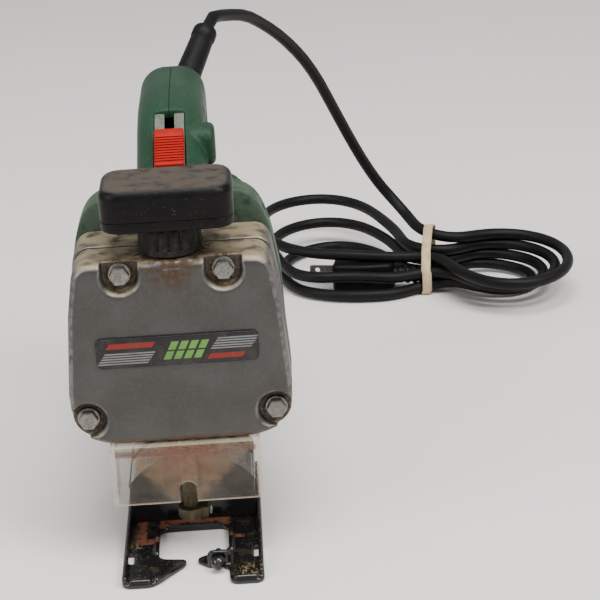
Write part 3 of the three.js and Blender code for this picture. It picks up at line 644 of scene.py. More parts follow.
def moved(piece, at, angle, axis):
    """Turns a piece drawn at the origin about an axis and puts it where it belongs."""
    turn = Matrix.Rotation(angle, 4, axis)
    home = Matrix.Translation(-place((0, 0, 0)))
    piece.data.transform(Matrix.Translation(place(at)) @ turn @ home)
    return piece


def finish_piece(piece, name, body, material, slot, *nodes):
    """Names a piece, gives it its material, hangs it on its body's empty and hides the CAD nodes
    that it stands for.
    """
    piece.name = name
    piece.data.name = name
    if material is not None:
        piece.data.materials.clear()
        piece.data.materials.append(material)
    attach(piece, body)
    if nodes:
        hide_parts(*nodes)
    return piece


def tube(name, points, radius):
    """A round tube along points, as a curve object with one spline."""
    data = bpy.data.curves.new(name, "CURVE")
    data.dimensions = "3D"
    data.bevel_depth = radius * MM
    data.bevel_resolution = 5
    data.use_fill_caps = True
    spline = data.splines.new("POLY")
    spline.points.add(len(points) - 1)
    for knot, point in zip(spline.points, points):
        knot.co = (*place(point), 1)
    spline.use_smooth = True
    made = bpy.data.objects.new(name, data)
    bpy.context.scene.collection.objects.link(made)
    return made


def through(points, step):
    """Points about a step apart on the centripetal Catmull-Rom curve through the given ones."""
    knots = [Vector(p) for p in points]
    knots = [2 * knots[0] - knots[1], *knots, 2 * knots[-1] - knots[-2]]
    dense = []
    for p0, p1, p2, p3 in zip(knots, knots[1:], knots[2:], knots[3:]):
        times = [0.0]
        for a, b in ((p0, p1), (p1, p2), (p2, p3)):
            times.append(times[-1] + max((b - a).length, 1e-6) ** 0.5)
        t0, t1, t2, t3 = times
        for k in range(24):
            t = t1 + (t2 - t1) * k / 24
            a1 = p0.lerp(p1, (t - t0) / (t1 - t0))
            a2 = p1.lerp(p2, (t - t1) / (t2 - t1))
            a3 = p2.lerp(p3, (t - t2) / (t3 - t2))
            b1 = a1.lerp(a2, (t - t0) / (t2 - t0))
            b2 = a2.lerp(a3, (t - t1) / (t3 - t1))
            dense.append(b1.lerp(b2, (t - t1) / (t2 - t1)))
    dense.append(knots[-2])
    lengths = [0.0]
    for a, b in zip(dense, dense[1:]):
        lengths.append(lengths[-1] + (b - a).length)
    pieces = max(2, round(lengths[-1] / step))
    even = []
    j = 0
    for k in range(pieces + 1):
        target = lengths[-1] * k / pieces
        while j < len(lengths) - 2 and lengths[j + 1] < target:
            j += 1
        part = (target - lengths[j]) / max(lengths[j + 1] - lengths[j], 1e-9)
        even.append(dense[j].lerp(dense[j + 1], part))
    return even


# ---- places read from the CAD ----

KNOB_LOW, KNOB_HIGH = cad("knob_cap")
COLLAR_LOW, COLLAR_HIGH = cad("lock_collar")
COLLAR_Y = (COLLAR_LOW.y + COLLAR_HIGH.y) / 2
COVER_LOW, COVER_HIGH = cad("front_cover")
CASTING_TOP = COVER_HIGH.z
CASTING_BOTTOM = COVER_LOW.z
CASTING_HALF = 51.5
HOUSING_LOW, HOUSING_HIGH = cad("gear_housing")
SHIELD_LOW, SHIELD_HIGH = cad("chip_shield")
SHIELD_TOP = SHIELD_HIGH.z
SHIELD_BOTTOM = SHIELD_LOW.z
SCREW_SEAT = 34.0
COVER_SCREWS = []
for number in range(1, 5):
    low, high = cad(f"cover_screw_{number}")
    COVER_SCREWS.append(((low.x + high.x) / 2, (low.z + high.z) / 2))
OPENING_BACK = 57.0  # rear edge of the blade opening
MOTOR_Z = 98.0
GEAR_Z = 122.0
WALL = 4.5  # of the casting
SCREW_BORE = 2.4
SCREW_POST = 9.6  # radius of the casting round each cover screw


# ---- cord, hank, band and plug ----

CORD = 7.0  # outer diameter
CORD_START = (0, 231, 168)
CORD_LEAN = Vector((16, 37, 27)).normalized()
RELIEF_END = 56.3
ROUTE = [
    (31, 301, 201),
    (40.8, 320, 196),
    (49.3, 336, 188),
    (58, 350, 178.5),
    (66.8, 364, 167),
    (75.3, 376, 154),
    (83.5, 387.5, 138),
    (92.2, 399, 117.5),
    (101.1, 410, 96.5),
    (109.7, 419.5, 77.5),
    (116.2, 425, 65),
    (122, 427.5, 55.5),
    (128, 427.5, 47.5),
]
PLUG_AT = Vector((112, 384))
PLUG_TURN = math.radians(-12)
WAIST_X = 147.0
WAIST_Y = 378.0
TURNS = 3
FINE = 4.0  # spacing of the settled cord's points
STIFFNESS = 0.03
TIGHTEST = 24.0  # least radius of the hank's bends
TIE_PULL = 0.004


def from_plug(x, y, z):
    """A point of the plug's own drawing, prongs towards -x, moved to where the plug lies."""
    turned = Matrix.Rotation(PLUG_TURN, 2) @ Vector((x, y))
    return Vector((PLUG_AT.x + turned.x, PLUG_AT.y + turned.y, z))


def on_cord_line(distance):
    return Vector(CORD_START) + CORD_LEAN * distance


# Plan of the hank's widest and narrowest end loops, clockwise; the turns lie between them.
LEFT_WIDE = [
    (128, 379), (104, 384), (76, 391), (55, 408), (44, 438), (45, 472), (60, 496), (84, 504),
    (106, 492), (121, 464), (131, 430),
]
LEFT_NARROW = [
    (128, 360), (104, 359), (82, 365), (64, 381), (55, 406), (57, 432), (70, 452), (90, 460),
    (109, 450), (122, 430), (132, 412),
]
RIGHT_WIDE = [
    (166, 391), (186, 397), (208, 397), (226, 385), (233, 362), (228, 338), (212, 321),
    (192, 317), (172, 330), (159, 352),
]
RIGHT_NARROW = [
    (162, 400), (178, 403), (196, 399), (209, 386), (212, 368), (203, 354), (189, 352),
    (177, 360), (168, 369), (161, 373),
]


def hank_turns():
    """The hank before it settles: clockwise turns wound down and inwards, from lead to plug."""
    path = [
        (134.3, 424.3, 40), (140.2, 417.8, 34.8), (146, 409, 31.8), (152, 400, 30.6),
        (158.5, 394, 30),
    ]
    for turn in range(TURNS + 1):
        share = turn / TURNS
        start = 29.5 if turn == 0 else 29 - 7 * turn
        middle = 22 - 6 * turn
        end = 10 if turn == TURNS else 22 - 7 * turn
        for k, (wide, narrow) in enumerate(zip(RIGHT_WIDE, RIGHT_NARROW)):
            flat = Vector(wide).lerp(Vector(narrow), share)
            part = k / (len(RIGHT_WIDE) - 1)
            height = start + (end - start) * part
            height += (middle - (start + end) / 2) * math.sin(math.pi * part)
            path.append((flat.x, flat.y, max(height, 4)))
        if turn == TURNS:
            break
        near = (WAIST_X, 373 - 6.5 * turn, 21.5 - 8.5 * turn)
        path.append(near)
        share = turn / (TURNS - 1)
        after = (WAIST_X, 391.5 + 3 * turn, 22.5 - 8 * turn)
        for k, (wide, narrow) in enumerate(zip(LEFT_WIDE, LEFT_NARROW)):
            flat = Vector(wide).lerp(Vector(narrow), share)
            part = k / (len(LEFT_WIDE) - 1)
            tip = 25 - 10.5 * turn
            base = near[2] + (after[2] - near[2]) * part
            path.append((flat.x, flat.y, max(base + (tip - base) * math.sin(math.pi * part), 4)))
        path.append(after)
    path += [tuple(from_plug(x, 0, 10)) for x in (44, 35.3)]
    return path


def settle_cord(points, fixed_start, fixed_end, rounds):
    """Lets the hank find its shape: even spacing, no sharp bends, turns a diameter apart."""
    at = np.array([tuple(p) for p in points])
    count = len(at)
    free = np.ones(count, bool)
    free[:fixed_start] = False
    free[count - fixed_end:] = False
    rest = np.linalg.norm(np.diff(at, axis=0), axis=1).mean()
    index = np.arange(count)
    apart = np.abs(index[:, None] - index[None, :]) > 6
    along = np.array([math.cos(PLUG_TURN), math.sin(PLUG_TURN)])
    sideways = np.array([-along[1], along[0]])
    for _ in range(rounds):
        move = np.zeros_like(at)
        fourth = -at[:-4] + 4 * at[1:-3] - 6 * at[2:-2] + 4 * at[3:-1] - at[4:]
        move[2:-2] += fourth * STIFFNESS
        for reach in (1, 3, 5):
            bow = (at[:-2 * reach] + at[2 * reach:]) / 2 - at[reach:-reach]
            depth = np.linalg.norm(bow, axis=1, keepdims=True) + 1e-9
            most = (reach * rest) ** 2 / (2 * TIGHTEST)
            excess = bow / depth * np.maximum(depth - most, 0) * 0.3
            move[reach:-reach] += excess
            move[:-2 * reach] -= excess / 2
            move[2 * reach:] -= excess / 2
        gap = np.diff(at, axis=0)
        length = np.linalg.norm(gap, axis=1, keepdims=True)
        pull = gap * (1 - rest / length) * 0.2
        move[:-1] += pull
        move[1:] -= pull
        between = at[:, None, :] - at[None, :, :]
        distance = np.linalg.norm(between, axis=2) + 1e-9
        depth = np.where(apart, np.maximum(CORD + 0.2 - distance, 0), 0)
        move += 0.16 * ((depth / distance)[:, :, None] * between).sum(axis=1)
        waist = np.exp(-(((at[:, 0] - WAIST_X) / 8) ** 2)) * (at[:, 1] < 402)
        move[:, 1] -= TIE_PULL * waist * (at[:, 1] - WAIST_Y)
        local = (at[:, :2] - np.array(PLUG_AT)) @ np.stack([along, sideways], axis=1)
        half = np.where(local[:, 0] < 16, 12.3, 6.0) + CORD / 2
        inside = (local[:, 0] > -46) & (local[:, 0] < 33) & (np.abs(local[:, 1]) < half)
        inside &= at[:, 2] < 21
        out = np.where(inside, (half - np.abs(local[:, 1])) * np.sign(local[:, 1]), 0) * 0.3
        move[:, :2] += out[:, None] * sideways
        size = np.linalg.norm(move, axis=1, keepdims=True)
        move *= np.minimum(1, 0.7 / (size + 1e-9))
        at[free] += move[free]
        at[:, 2] = np.maximum(at[:, 2], CORD / 2 + 0.15)
    return [Vector(p) for p in at]


def make_cord():
    start = [on_cord_line(RELIEF_END), on_cord_line(RELIEF_END + 8)]
    points = through(start + ROUTE + hank_turns(), FINE)
    lead_end = min(range(len(points)), key=lambda i: (points[i] - Vector(ROUTE[-1])).length)
    tail = points[lead_end - 6:]
    points = points[:lead_end - 6:3] + settle_cord(tail, 7, 4, SETTLE_ROUNDS)
    measured = sum((b - a).length for a, b in zip(points, points[1:]))
    cord = tube("mains_cord", points, CORD / 2)
    cord.data.materials.append(MATERIALS["cord_rubber"])
    return cord, points, measured


def make_band(points):
    """Rubber band drawn round the hank's waist."""
    near = [p for p in points if abs(p.x - WAIST_X - 0.2 * (p.y - WAIST_Y)) < 4 and p.y < 404]
    reach = CORD / 2 + 0.9
    reaches = []
    steps = 72
    for k in range(steps):
        turn = 2 * math.pi * k / steps
        way = Vector((0, math.cos(turn), math.sin(turn)))
        reaches.append((way, max(p.dot(way) for p in near) + reach))
    # the band follows the hull of the strands that it holds
    loop = []
    for (a, da), (b, db) in zip(reaches, reaches[1:] + reaches[:1]):
        det = a.y * b.z - a.z * b.y
        y = (da * b.z - db * a.z) / det
        z = (db * a.y - da * b.y) / det
        loop.append(Vector((0, y, max(z, 0.9))))
    section = [
        (-3.0, 0.0), (-2.6, 0.75), (0, 0.95), (2.6, 0.75), (3.0, 0.0), (2.6, -0.6), (-2.6, -0.6),
    ]
    middle = sum(loop, Vector()) / len(loop)
    rings = []
    for k, point in enumerate(loop):
        out = (point - middle).normalized()
        lean = 0.2 * (point.y - WAIST_Y) + 0.7 * math.sin(5 * math.pi * k / steps)
        rings.append([Vector((WAIST_X + lean + u, point.y, point.z)) + out * v for u, v in section])
    band = loft(rings, ring=True)
    for face in band.data.polygons:
        face.use_smooth = True
    return band


def along_cord_line(rings, sides=28):
    """A turned piece on the line that the cord leaves by: (distance, radius) rings."""
    aim = CORD_LEAN.to_track_quat("Z", "Y")
    loops = []
    for distance, radius in rings:
        middle = on_cord_line(distance)
        loops.append([middle + aim @ spoke.to_3d() for spoke in circle(0, 0, radius, sides)])
    made = loft(loops)
    shade_by_angle(made, 40)
    return made


def make_strain_relief():
    rings = [(-5, 6.2), (16.6, 6.2), (17.0, 7.0), (17.6, 7.3)]
    for k in range(1, 9):
        rings.append((17.6 + 30.4 * k / 8, 7.3 - 0.85 * k / 8))
    rings += [(48.6, 6.2), (49.2, 6.4), (50.0, 6.9), (54.6, 6.8), (55.7, 6.4), (56, 5.4)]
    return along_cord_line(rings)


def on_plug(piece):
    return moved(piece, (PLUG_AT.x, PLUG_AT.y, 0), PLUG_TURN, "Z")


def make_plug():
    grip = slab(rounded([
        (-25, -11.5), (-6, -12), (14, -8), (14, 8), (-6, 12), (-25, 11.5),
    ], 4.5), "z", 1, 19, 2)
    tail = bar("x", 5.4, 12, 35, 0, 10, 32, far=4.6)
    ribs = [bar("x", 5.9, x, x + 2.2, 0, 10, 32) for x in (17, 21.5, 26, 30.5)]
    ridges = [
        box(-3 + 3.2 * k, -1.4 + 3.2 * k, side * 11.6 - 1, side * 11.6 + 1, 5, 15)
        for k in range(3) for side in (-1, 1)
    ]
    body = soften(fuse(grip, tail, *ribs), 0.45, 4)
    body = cut(body, *ridges)
    return on_plug(body)


def make_prong(side):
    y = side * 6.35
    outline = rounded([
        (-42, 7.2), (-40.6, 6.9), (-20.5, 6.9), (-20.5, 13.1), (-40.6, 13.1), (-42, 12.8),
    ], 0.8, 3)
    blade = slab(outline, "y", y - 0.75, y + 0.75)
    hole = bar("y", 1.6, y - 2, y + 2, -37, 10, 24)
    return on_plug(crisp(cut(blade, hole), 0.15))


# ---- casting ----


def casting_outline(grow=0.0, top=None):
    w = CASTING_HALF + grow
    t = CASTING_TOP + grow
    b = CASTING_BOTTOM - grow
    half = [(36 + grow, b), (w - 1, b + 7), (w, b + 26), (w - 3, t - 25), (w - 7, t)]
    return mirrored(half, 7, 8)


def screw_posts(start, end, front, back):
    """Posts round the bores of the cover screws, kept inside the casting's outline."""
    posts = []
    for x, z in COVER_SCREWS:
        post = bar("y", SCREW_POST, start, end, x, z, 32)
        posts.append(combine(post, [slab(casting_outline(-1), "y", front, back)], "INTERSECT"))
    return posts


def make_front_cover():
    front, back = COVER_LOW.y, COVER_HIGH.y
    body = slab(casting_outline(), "y", front, back, 4.0, 0.0, 6)
    pockets = []
    for x, z in COVER_SCREWS:
        pockets.append(bar("y", 8.2, front - 5, SCREW_SEAT, x, z, 40))
        pockets.append(bar("y", 10.3, front - 0.4, front + 2, x, z, 40, far=8.0))
        if z > 100:
            pockets.append(box(x - 8.2, x + 8.2, front - 5, SCREW_SEAT, z, z + 20))
        else:
            outer = x + 20 if x > 0 else x - 20
            pockets.append(box(min(x, outer), max(x, outer), front - 5, SCREW_SEAT, z - 20, z + 4))
        pockets.append(bar("y", SCREW_BORE, SCREW_SEAT - 1, 80, x, z, 20))
    cavity = slab(casting_outline(-WALL), "y", front + 5.4, back + 1)
    holes = [
        bar("z", 7.3, CASTING_BOTTOM - 8, CASTING_BOTTOM + 20, 0, COLLAR_Y, 40),
        bar("z", 9.3, CASTING_TOP - 20, CASTING_TOP + 5, 0, COLLAR_Y, 40),
    ]
    rim = bar("z", 17.5, CASTING_TOP - 3, CASTING_TOP + 0.3, 0, COLLAR_Y, 48, far=16.5)
    body = cut(body, cavity)
    body = fuse(body, rim, *screw_posts(front + 4, back - 0.2, front, back))
    body = cut(body, *pockets, *holes)
    return soften(body, 0.75, 5)


def make_gear_housing():
    front, back = HOUSING_LOW.y, HOUSING_HIGH.y
    body = slab(casting_outline(0.6), "y", front, back, 0.5, 0.8, 3)
    cavity = slab(casting_outline(-WALL), "y", front - 1, back - 8)
    bores = [bar("y", SCREW_BORE, front - 1, 72, x, z, 20) for x, z in COVER_SCREWS]
    seats = [
        bar("y", 11.3, back - 9, back + 1, 0, MOTOR_Z, 40),
        bar("y", 3.3, back - 9, back + 1, 0, GEAR_Z, 24),
    ]
    body = fuse(cut(body, cavity), *screw_posts(front, back - 7, front, back))
    return soften(cut(body, *bores, *seats), 0.8, 3)


def make_cover_screw(index):
    x, z = COVER_SCREWS[index]
    seat = SCREW_SEAT - 0.3
    head = slab(circle(x, z, 7.9 / math.sqrt(3), 6), "y", seat - 5, seat - 0.6)
    dome = bar("y", 4.3, seat - 5.6, seat - 0.8, x, z, 40, far=8.0)
    trimmed = combine(head, [dome], "INTERSECT")
    washer = slab(circle(x, z, 5.2, 40), "y", seat - 1.2, seat, 0.3)
    dimple = bar("y", 2.3, seat - 5.2, seat - 4.6, x, z, 24, far=1.6)
    screw = cut(fuse(trimmed, washer), dimple)
    shank = bar("y", 2.0, seat - 0.5, seat + 34, x, z, 16)
    return crisp(fuse(screw, shank), 0.25)


def make_name_plate():
    low, high = cad("name_plate")
    face = rectangle(low.x, high.x, low.z, high.z, 2.5)
    return crisp(slab(face, "y", low.y, high.y, 0.35, 0.0, 3), 0.08, 1)


# ---- knob, collar, plunger ----


def knob_outline(grow=0.0):
    return rectangle(
        KNOB_LOW.x - grow, KNOB_HIGH.x + grow, KNOB_LOW.y - grow, KNOB_HIGH.y + grow, 9, 10
    )


def make_knob_cap():
    low, high = KNOB_LOW.z, KNOB_HIGH.z
    rings = [(low, inset(knob_outline(), 0.25)), (low + 0.25, knob_outline())]
    for k in range(0, 11):
        turn = math.pi / 2 * k / 10
        narrowing = 4.6 * (1 - math.cos(turn))
        rings.append((high - 4.8 * (1 - math.sin(turn)), inset(knob_outline(), narrowing)))
    for k in range(1, 4):
        rings.append((high - 0.4 * (k / 3) ** 2, inset(knob_outline(), 4.6 + 2.6 * k / 3)))
    block = stack(rings, "z")
    socket = bar("z", 7.3, low - 1, low + 6.3, 0, COLLAR_Y, 32)
    piece = cut(block, socket)
    shade_by_angle(piece, 30)
    return piece


def make_knob_base():
    low, high = cad("knob_base")
    top = KNOB_LOW.z - 0.3
    plate = slab(inset(knob_outline(), 0.1), "z", low.z, top, 1.6, 0.25)
    stem = bar("z", 7, low.z + 1, high.z, 0, COLLAR_Y, 32)
    piece = fuse(plate, stem)
    shade_by_angle(piece, 30)
    return piece


def make_lock_collar():
    low, high = COLLAR_LOW.z, COLLAR_HIGH.z
    flutes = 16

    def outline(radius, depth):
        points = []
        for i in range(flutes * 12):
            turn = 2 * math.pi * i / (flutes * 12)
            wave = max(0.0, math.cos(turn * flutes)) ** 2
            reach = radius - depth * wave
            points.append(Vector((reach * math.cos(turn), COLLAR_Y + reach * math.sin(turn))))
        return points

    rings = [
        (low, outline(13.9, 0)), (low + 0.7, outline(14.7, 0)), (low + 2.4, outline(14.75, 0)),
        (low + 3.0, outline(14.7, 1.1)), (high - 1.6, outline(14.25, 1.1)),
        (high - 0.8, outline(14.0, 0.6)), (high, outline(13.2, 0)),
    ]
    ring = cut(stack(rings, "z"), bar("z", 8, low - 1, high + 1, 0, COLLAR_Y, 40))
    shade_by_angle(ring, 35)
    return ring


def make_plunger():
    low, high = cad("plunger")
    rod = bar("z", 3.7, low.z, high.z, 0, COLLAR_Y, 48)
    stops = [slab(circle(0, COLLAR_Y, 5.6, 40), "z", z - 1, z + 1, 0.3) for z in (114.2, 129.8)]
    grooves = (low.z + 5.5, low.z + 7.3)
    skirt = [slab(circle(0, COLLAR_Y, 3.9, 40), "z", z, z + 0.6, 0.2) for z in grooves]
    flat = box(2.8, 8, 30, 60, 131, 160)
    return crisp(cut(fuse(rod, *stops, *skirt), flat), 0.25)


def make_blade_clamp():
    low, high = cad("blade_clamp")
    drum = slab(circle(0, COLLAR_Y, 6.4, 48), "z", low.z, high.z, 0.5)
    lug = slab(rectangle(-4, high.x, COLLAR_Y - 3.6, COLLAR_Y + 3.6, 1.0), "z", low.z, high.z, 0.4)
    slot = box(-0.8, 0.8, COLLAR_Y - 3.2, COLLAR_Y + 3.2, low.z - 1, high.z - 1.7)
    bore = bar("x", 1.4, 2, 9, COLLAR_Y, low.z + 2.7, 16)
    return crisp(cut(fuse(drum, lug), slot, bore), 0.2)


def make_clamp_screw():
    low, high = cad("blade_clamp_screw")
    z = (low.z + high.z) / 2
    head = slab(circle(COLLAR_Y, z, 2.3, 32), "x", high.x - 1.3, high.x, 0.2, 0.4)
    shank = bar("x", 1.1, low.x, high.x - 0.9, COLLAR_Y, z, 16)
    socket = slab(circle(COLLAR_Y, z, 1.15, 6), "x", high.x - 0.7, high.x + 1)
    return crisp(cut(fuse(head, shank), socket), 0.1)


# ---- green shells ----


SLOPE_LOW = (90, 166.5)  # front slope of the handle, which holds the switch
SLOPE_HIGH = (145, 190)
SLOPE_TILT = math.atan2(SLOPE_HIGH[1] - SLOPE_LOW[1], SLOPE_HIGH[0] - SLOPE_LOW[0])
HANDLE_HALF = 17.0
HANDLE_EDGE = 13.5
CASE_FRONT, CASE_BACK = 78.3, 240.0


def handle_solid():
    outline = rounded([
        (CASE_FRONT + 2, 110), (CASE_FRONT + 2, 152), SLOPE_LOW, SLOPE_HIGH, (166, 194),
        (223, 194), (CASE_BACK, 178), (CASE_BACK, 110),
    ], 20, 9)
    grip = slab(outline, "x", -HANDLE_HALF, HANDLE_HALF, HANDLE_EDGE, HANDLE_EDGE, 11)
    hole = rectangle(129, 208, 133, 168, 14, 10)
    rings = []
    steps = 7
    for k in range(steps + 1):
        share = k / steps
        flare = 7 * (1 - math.sqrt(1 - (1 - share) ** 2))
        rings.append((-17.4 + 7.4 * share, inset(hole, -flare)))
    rings += [(-at, loop) for at, loop in reversed(rings)]
    return cut(grip, stack(rings, "x"))


def case_solid():
    barrel = mirrored([(28, 60), (45, 72), (47, 98), (43, 117), (25, 131)], 9, 8)
    collar = mirrored([
        (32, 61.5), (49, 69), (51.5, 86), (50, 124), (46, 148), (40, 162), (27, 167.5),
    ], 8, 8)
    return [
        slab(barrel, "y", CASE_FRONT + 4, CASE_BACK - 2, 8, 8, 7),
        slab(collar, "y", CASE_FRONT, CASE_FRONT + 24, 0.0, 7, 7),
    ]


def shell_screws():
    """Middle and seat of each shell screw: (y, z, x of its seat)."""
    found = []
    for number in range(1, 5):
        low, high = cad(f"shell_screw_{number}")
        found.append(((low.y + high.y) / 2, (low.z + high.z) / 2, high.x - 2.3))
    return found


def on_slope(piece):
    """Moves a piece drawn flat (x across, y up the slope, z out of it) onto the handle's slope."""
    return moved(piece, (0, *SLOPE_LOW), SLOPE_TILT, "X")


def make_shells():
    """Both halves of the moulding, cut from one outside form."""
    body = fuse(handle_solid(), *case_solid())
    boss = slab(rectangle(126, 145, 163, 183, 7, 8), "x", 0, 22, 0.0, 3, 6)
    pad = box(-13, 13, 84, 106, 34, 65)
    pad = cut(pad, bar("y", 38.6, 80, 110, 0, 0, 96))
    body = fuse(body, boss, pad)
    rooms = [
        cut(bar("y", 36, CASE_FRONT - 1, 222, 0, MOTOR_Z, 64), box(-40, 40, 76, 223, 131.4, 200)),
        box(-11, 11, 143, 226, 171, 184),
        box(-11, 11, 212, 232, 108, 176),
        on_slope(box(-7.6, 7.6, -12, 57.8, -3.4, 12)),
        on_slope(box(-7.3, 7.3, 10, 33, -20, 0)),
        on_slope(box(-3.4, 3.4, 14, 57, -11, 0)),
        bar("z", 2.7, 30, 63, 0, 95, 24),
    ]
    exit_hole = along_cord_line([(-6, 6.6), (40, 6.6)])
    body = cut(body, *rooms, exit_hole)
    for y, z, seat in shell_screws():
        counterbore = bar("x", 3.6, seat, 60, y, z, 32)
        body = cut(body, counterbore, bar("x", 1.9, -seat, seat + 1, y, z, 16))
    body = soften(body, SHELL_VOXEL, 4)
    halves = []
    for low, high in ((0.15, 80), (-80, -0.15)):
        half = body.copy()
        half.data = body.data.copy()
        bpy.context.scene.collection.objects.link(half)
        combine(half, [box(low, high, 0, 260, 0, 220)], "INTERSECT")
        shade_by_angle(half, 40)
        halves.append(half)
    bpy.data.objects.remove(body)
    return halves


# ---- switch ----

SLIDE_START, SLIDE_END = 10, 38


def make_slide_button():
    block = slab(
        rectangle(-7.2, 7.2, SLIDE_START, SLIDE_END, 1.4, 5), "z", -1.2, 4.5, 0.4, 1.1
    )
    ribs = [
        box(-8, 8, y, y + 0.8, 3.7, 6) for y in (SLIDE_START + 2.5 + 2 * i for i in range(10))
    ]
    stem = box(-1.8, 1.8, SLIDE_START + 8, SLIDE_START + 16, -6, 0)
    return on_slope(crisp(cut(fuse(block, stem), *ribs), 0.18))


def make_switch_plate():
    plate = box(-7.3, 7.3, 1, 57.3, -3.1, -1.9)
    slot = box(-2.4, 2.4, SLIDE_START + 6, 58, -4, 0)
    return on_slope(crisp(cut(plate, slot), 0.25))


# ---- chip shield ----


def make_chip_shield():
    half, front, back = SHIELD_HIGH.x, SHIELD_LOW.y, SHIELD_HIGH.y
    low, high = SHIELD_LOW.z, SHIELD_HIGH.z
    outer = slab(rectangle(-half, half, front, back, 2.4, 6), "z", low, high, 0.5, 0.5, 3)
    inside = slab(rectangle(-half + 2, half - 2, front + 2, 60, 1.2, 4), "z", low - 1, high - 2)
    roof = box(-12, 12, COLLAR_Y - 12, 60, high - 3, high + 1)
    notch = slab(rectangle(-4, 4, low - 8, low + 10.5, 3.9, 8), "y", 20, 40)
    pane = crisp(cut(outer, inside, roof, notch), 0.3)
    pane.data.materials.append(MATERIALS["clear_pane"])
    pane.data.materials.append(MATERIALS["painted_glow_rim"])
    # Rim, notch wall and front corner faces take the second material, the painted glow along the
    # pane's edges.
    for face in pane.data.polygons:
        middle = face.center / MM
        y = middle.y - FRONT
        rim = middle.z < low + 0.9 or y > back - 0.6 or middle.z > high - 0.5
        notch_wall = abs(middle.x) < 4.4 and middle.z < low + 11.2 and abs(face.normal.y) < 0.9
        corner = y < front + 2.2 and abs(middle.x) > half - 2.3
        face.material_index = 1 if rim or notch_wall or corner else 0
    return pane


# ---- shoe ----


def make_shoe():
    w, length = SHOE_HIGH.x / MM, (SHOE_HIGH.y - SHOE_LOW.y) / MM
    outline = rounded([
        (-w, 2), (-19, 2), (-15, 6), (-3.5, 20.5), (-3.2, 25), (-16.5, 27),
        (-16.5, 57), (16.5, 57), (16.5, 30), (7, 29), (1.8, 25.5), (1.8, 22.5), (7.5, 17),
        (16.5, 17), (17, 0), (w, 0), (w, length), (-w, length),
    ], 4, 5)
    floor = slab(outline, "z", 0, 2.2, 0.5, 0.4, 3)
    sides = [
        slab(rectangle(3.5, length - 3, 0.6, 5.5, 1.4, 5), "x", x0, x1, 0.8, 0.8, 3)
        for x0, x1 in ((-w, -w + 2.4), (w - 2.4, w))
    ]
    front_lip = slab(rectangle(w - 14, w - 3, 0.6, 3.4, 1.2, 4), "z", 0.5, 4.2, 0.2, 1.2, 4)
    left_lip = slab(rectangle(-w + 3, -w + 13.6, 2.4, 5.2, 1.2, 4), "z", 0.5, 4.2, 0.2, 1.2, 4)
    back_lip = slab(rectangle(57, 59.6, 0.6, 4.4, 1.2, 5), "x", -13.5, 13.5, 0.8, 0.8, 3)
    side_lips = [
        slab(rectangle(x0, x1, 31, 58, 1.2, 4), "z", 0.5, 3.6, 0.2, 1.2, 4)
        for x0, x1 in ((-19, -16.4), (16.4, 19))
    ]
    ear = slab(rectangle(6.5, 17.5, 0.6, 9, 2.9, 6), "y", 17.2, 19.8, 0.8, 0.8, 3)
    cheek = slab(rectangle(15.4, 17.7, 17.2, 29.2, 1.0, 4), "z", 0.6, 5, 0.2, 0.9, 3)
    tongue_lip = slab(
        rounded([
            (-17, 3.6), (-14.2, 6.6), (-4.6, 20.8), (-6.2, 21.8), (-16.4, 8.6), (-19, 5.8),
        ], 1.2, 4),
        "z", 0.8, 3.6, 0.2, 1.2, 4,
    )
    body = fuse(floor, *sides, front_lip, left_lip, back_lip, *side_lips, ear, cheek, tongue_lip)
    body = cut(
        body,
        box(-w - 1, -w + 4.6, 23.5, 33.5, -1, 4.2),
        box(w - 4.6, w + 1, 23.5, 33.5, -1, 4.2),
        bar("y", 1.8, 15, 22, 11.8, 4.8, 24),
    )
    return soften(body, 0.45, 4)


def make_fence_screw():
    low, high = cad("fence_clamp_screw")
    x, z = (low.x + high.x) / 2, (low.z + high.z) / 2
    rings = []
    for k in range(13):
        turn = math.pi * (k + 0.35) / 16
        rings.append((13.8 - 3.5 * math.cos(turn), circle(x, z, 3.5 * math.sin(turn), 36)))
    rings.append((16.9, circle(x, z, 2.0, 36)))
    ball = stack([r for r in rings if r[0] <= 16.9], "y")
    slot = box(x - 0.6, x + 0.6, 6, 11.4, z - 6, z + 6)
    shank = bar("y", 1.5, 15, high.y, x, z, 20)
    piece = fuse(cut(ball, slot), shank)
    shade_by_angle(piece, 35)
    return piece


# ---- assembly ----

SHELL_VOXEL = 0.9
SETTLE_ROUNDS = 420

make_camera()

MATERIALS = {
    "cast_aluminium": cast_aluminium(),
    "green_plastic": green_plastic(),
    "black_plastic": black_plastic(),
    "collar_black": collar_black(),
    "red_plastic": red_plastic(),
    "dust_plate": dust_plate(),
    "black_paint": black_paint(),
    "zinc_steel": steel("zinc_steel", (0.20, 0.195, 0.175), 0.36, 0.6),
    "greasy_steel": steel("greasy_steel", (0.075, 0.062, 0.038), 0.42, 0.8),
    "gear_steel": steel("gear_steel", (0.22, 0.22, 0.225), 0.35, 0.25),
    "copper": plain("copper", (0.42, 0.14, 0.06), 0.35, 0.9),
    "bronze": plain("bronze", (0.36, 0.21, 0.08), 0.38, 0.9),
    "carbon": plain("carbon", (0.02, 0.02, 0.02), 0.7),
    "insulation": plain("insulation", (0.55, 0.50, 0.38), 0.6),
    "band_rubber": plain("band_rubber", (0.50, 0.37, 0.22), 0.6, grain=2.0),
    "clear_pane": clear_pane(),
    "painted_glow_rim": painted_glow_rim(),
    "cord_rubber": cord_rubber(),
    "plate_print": plate_print(),
}

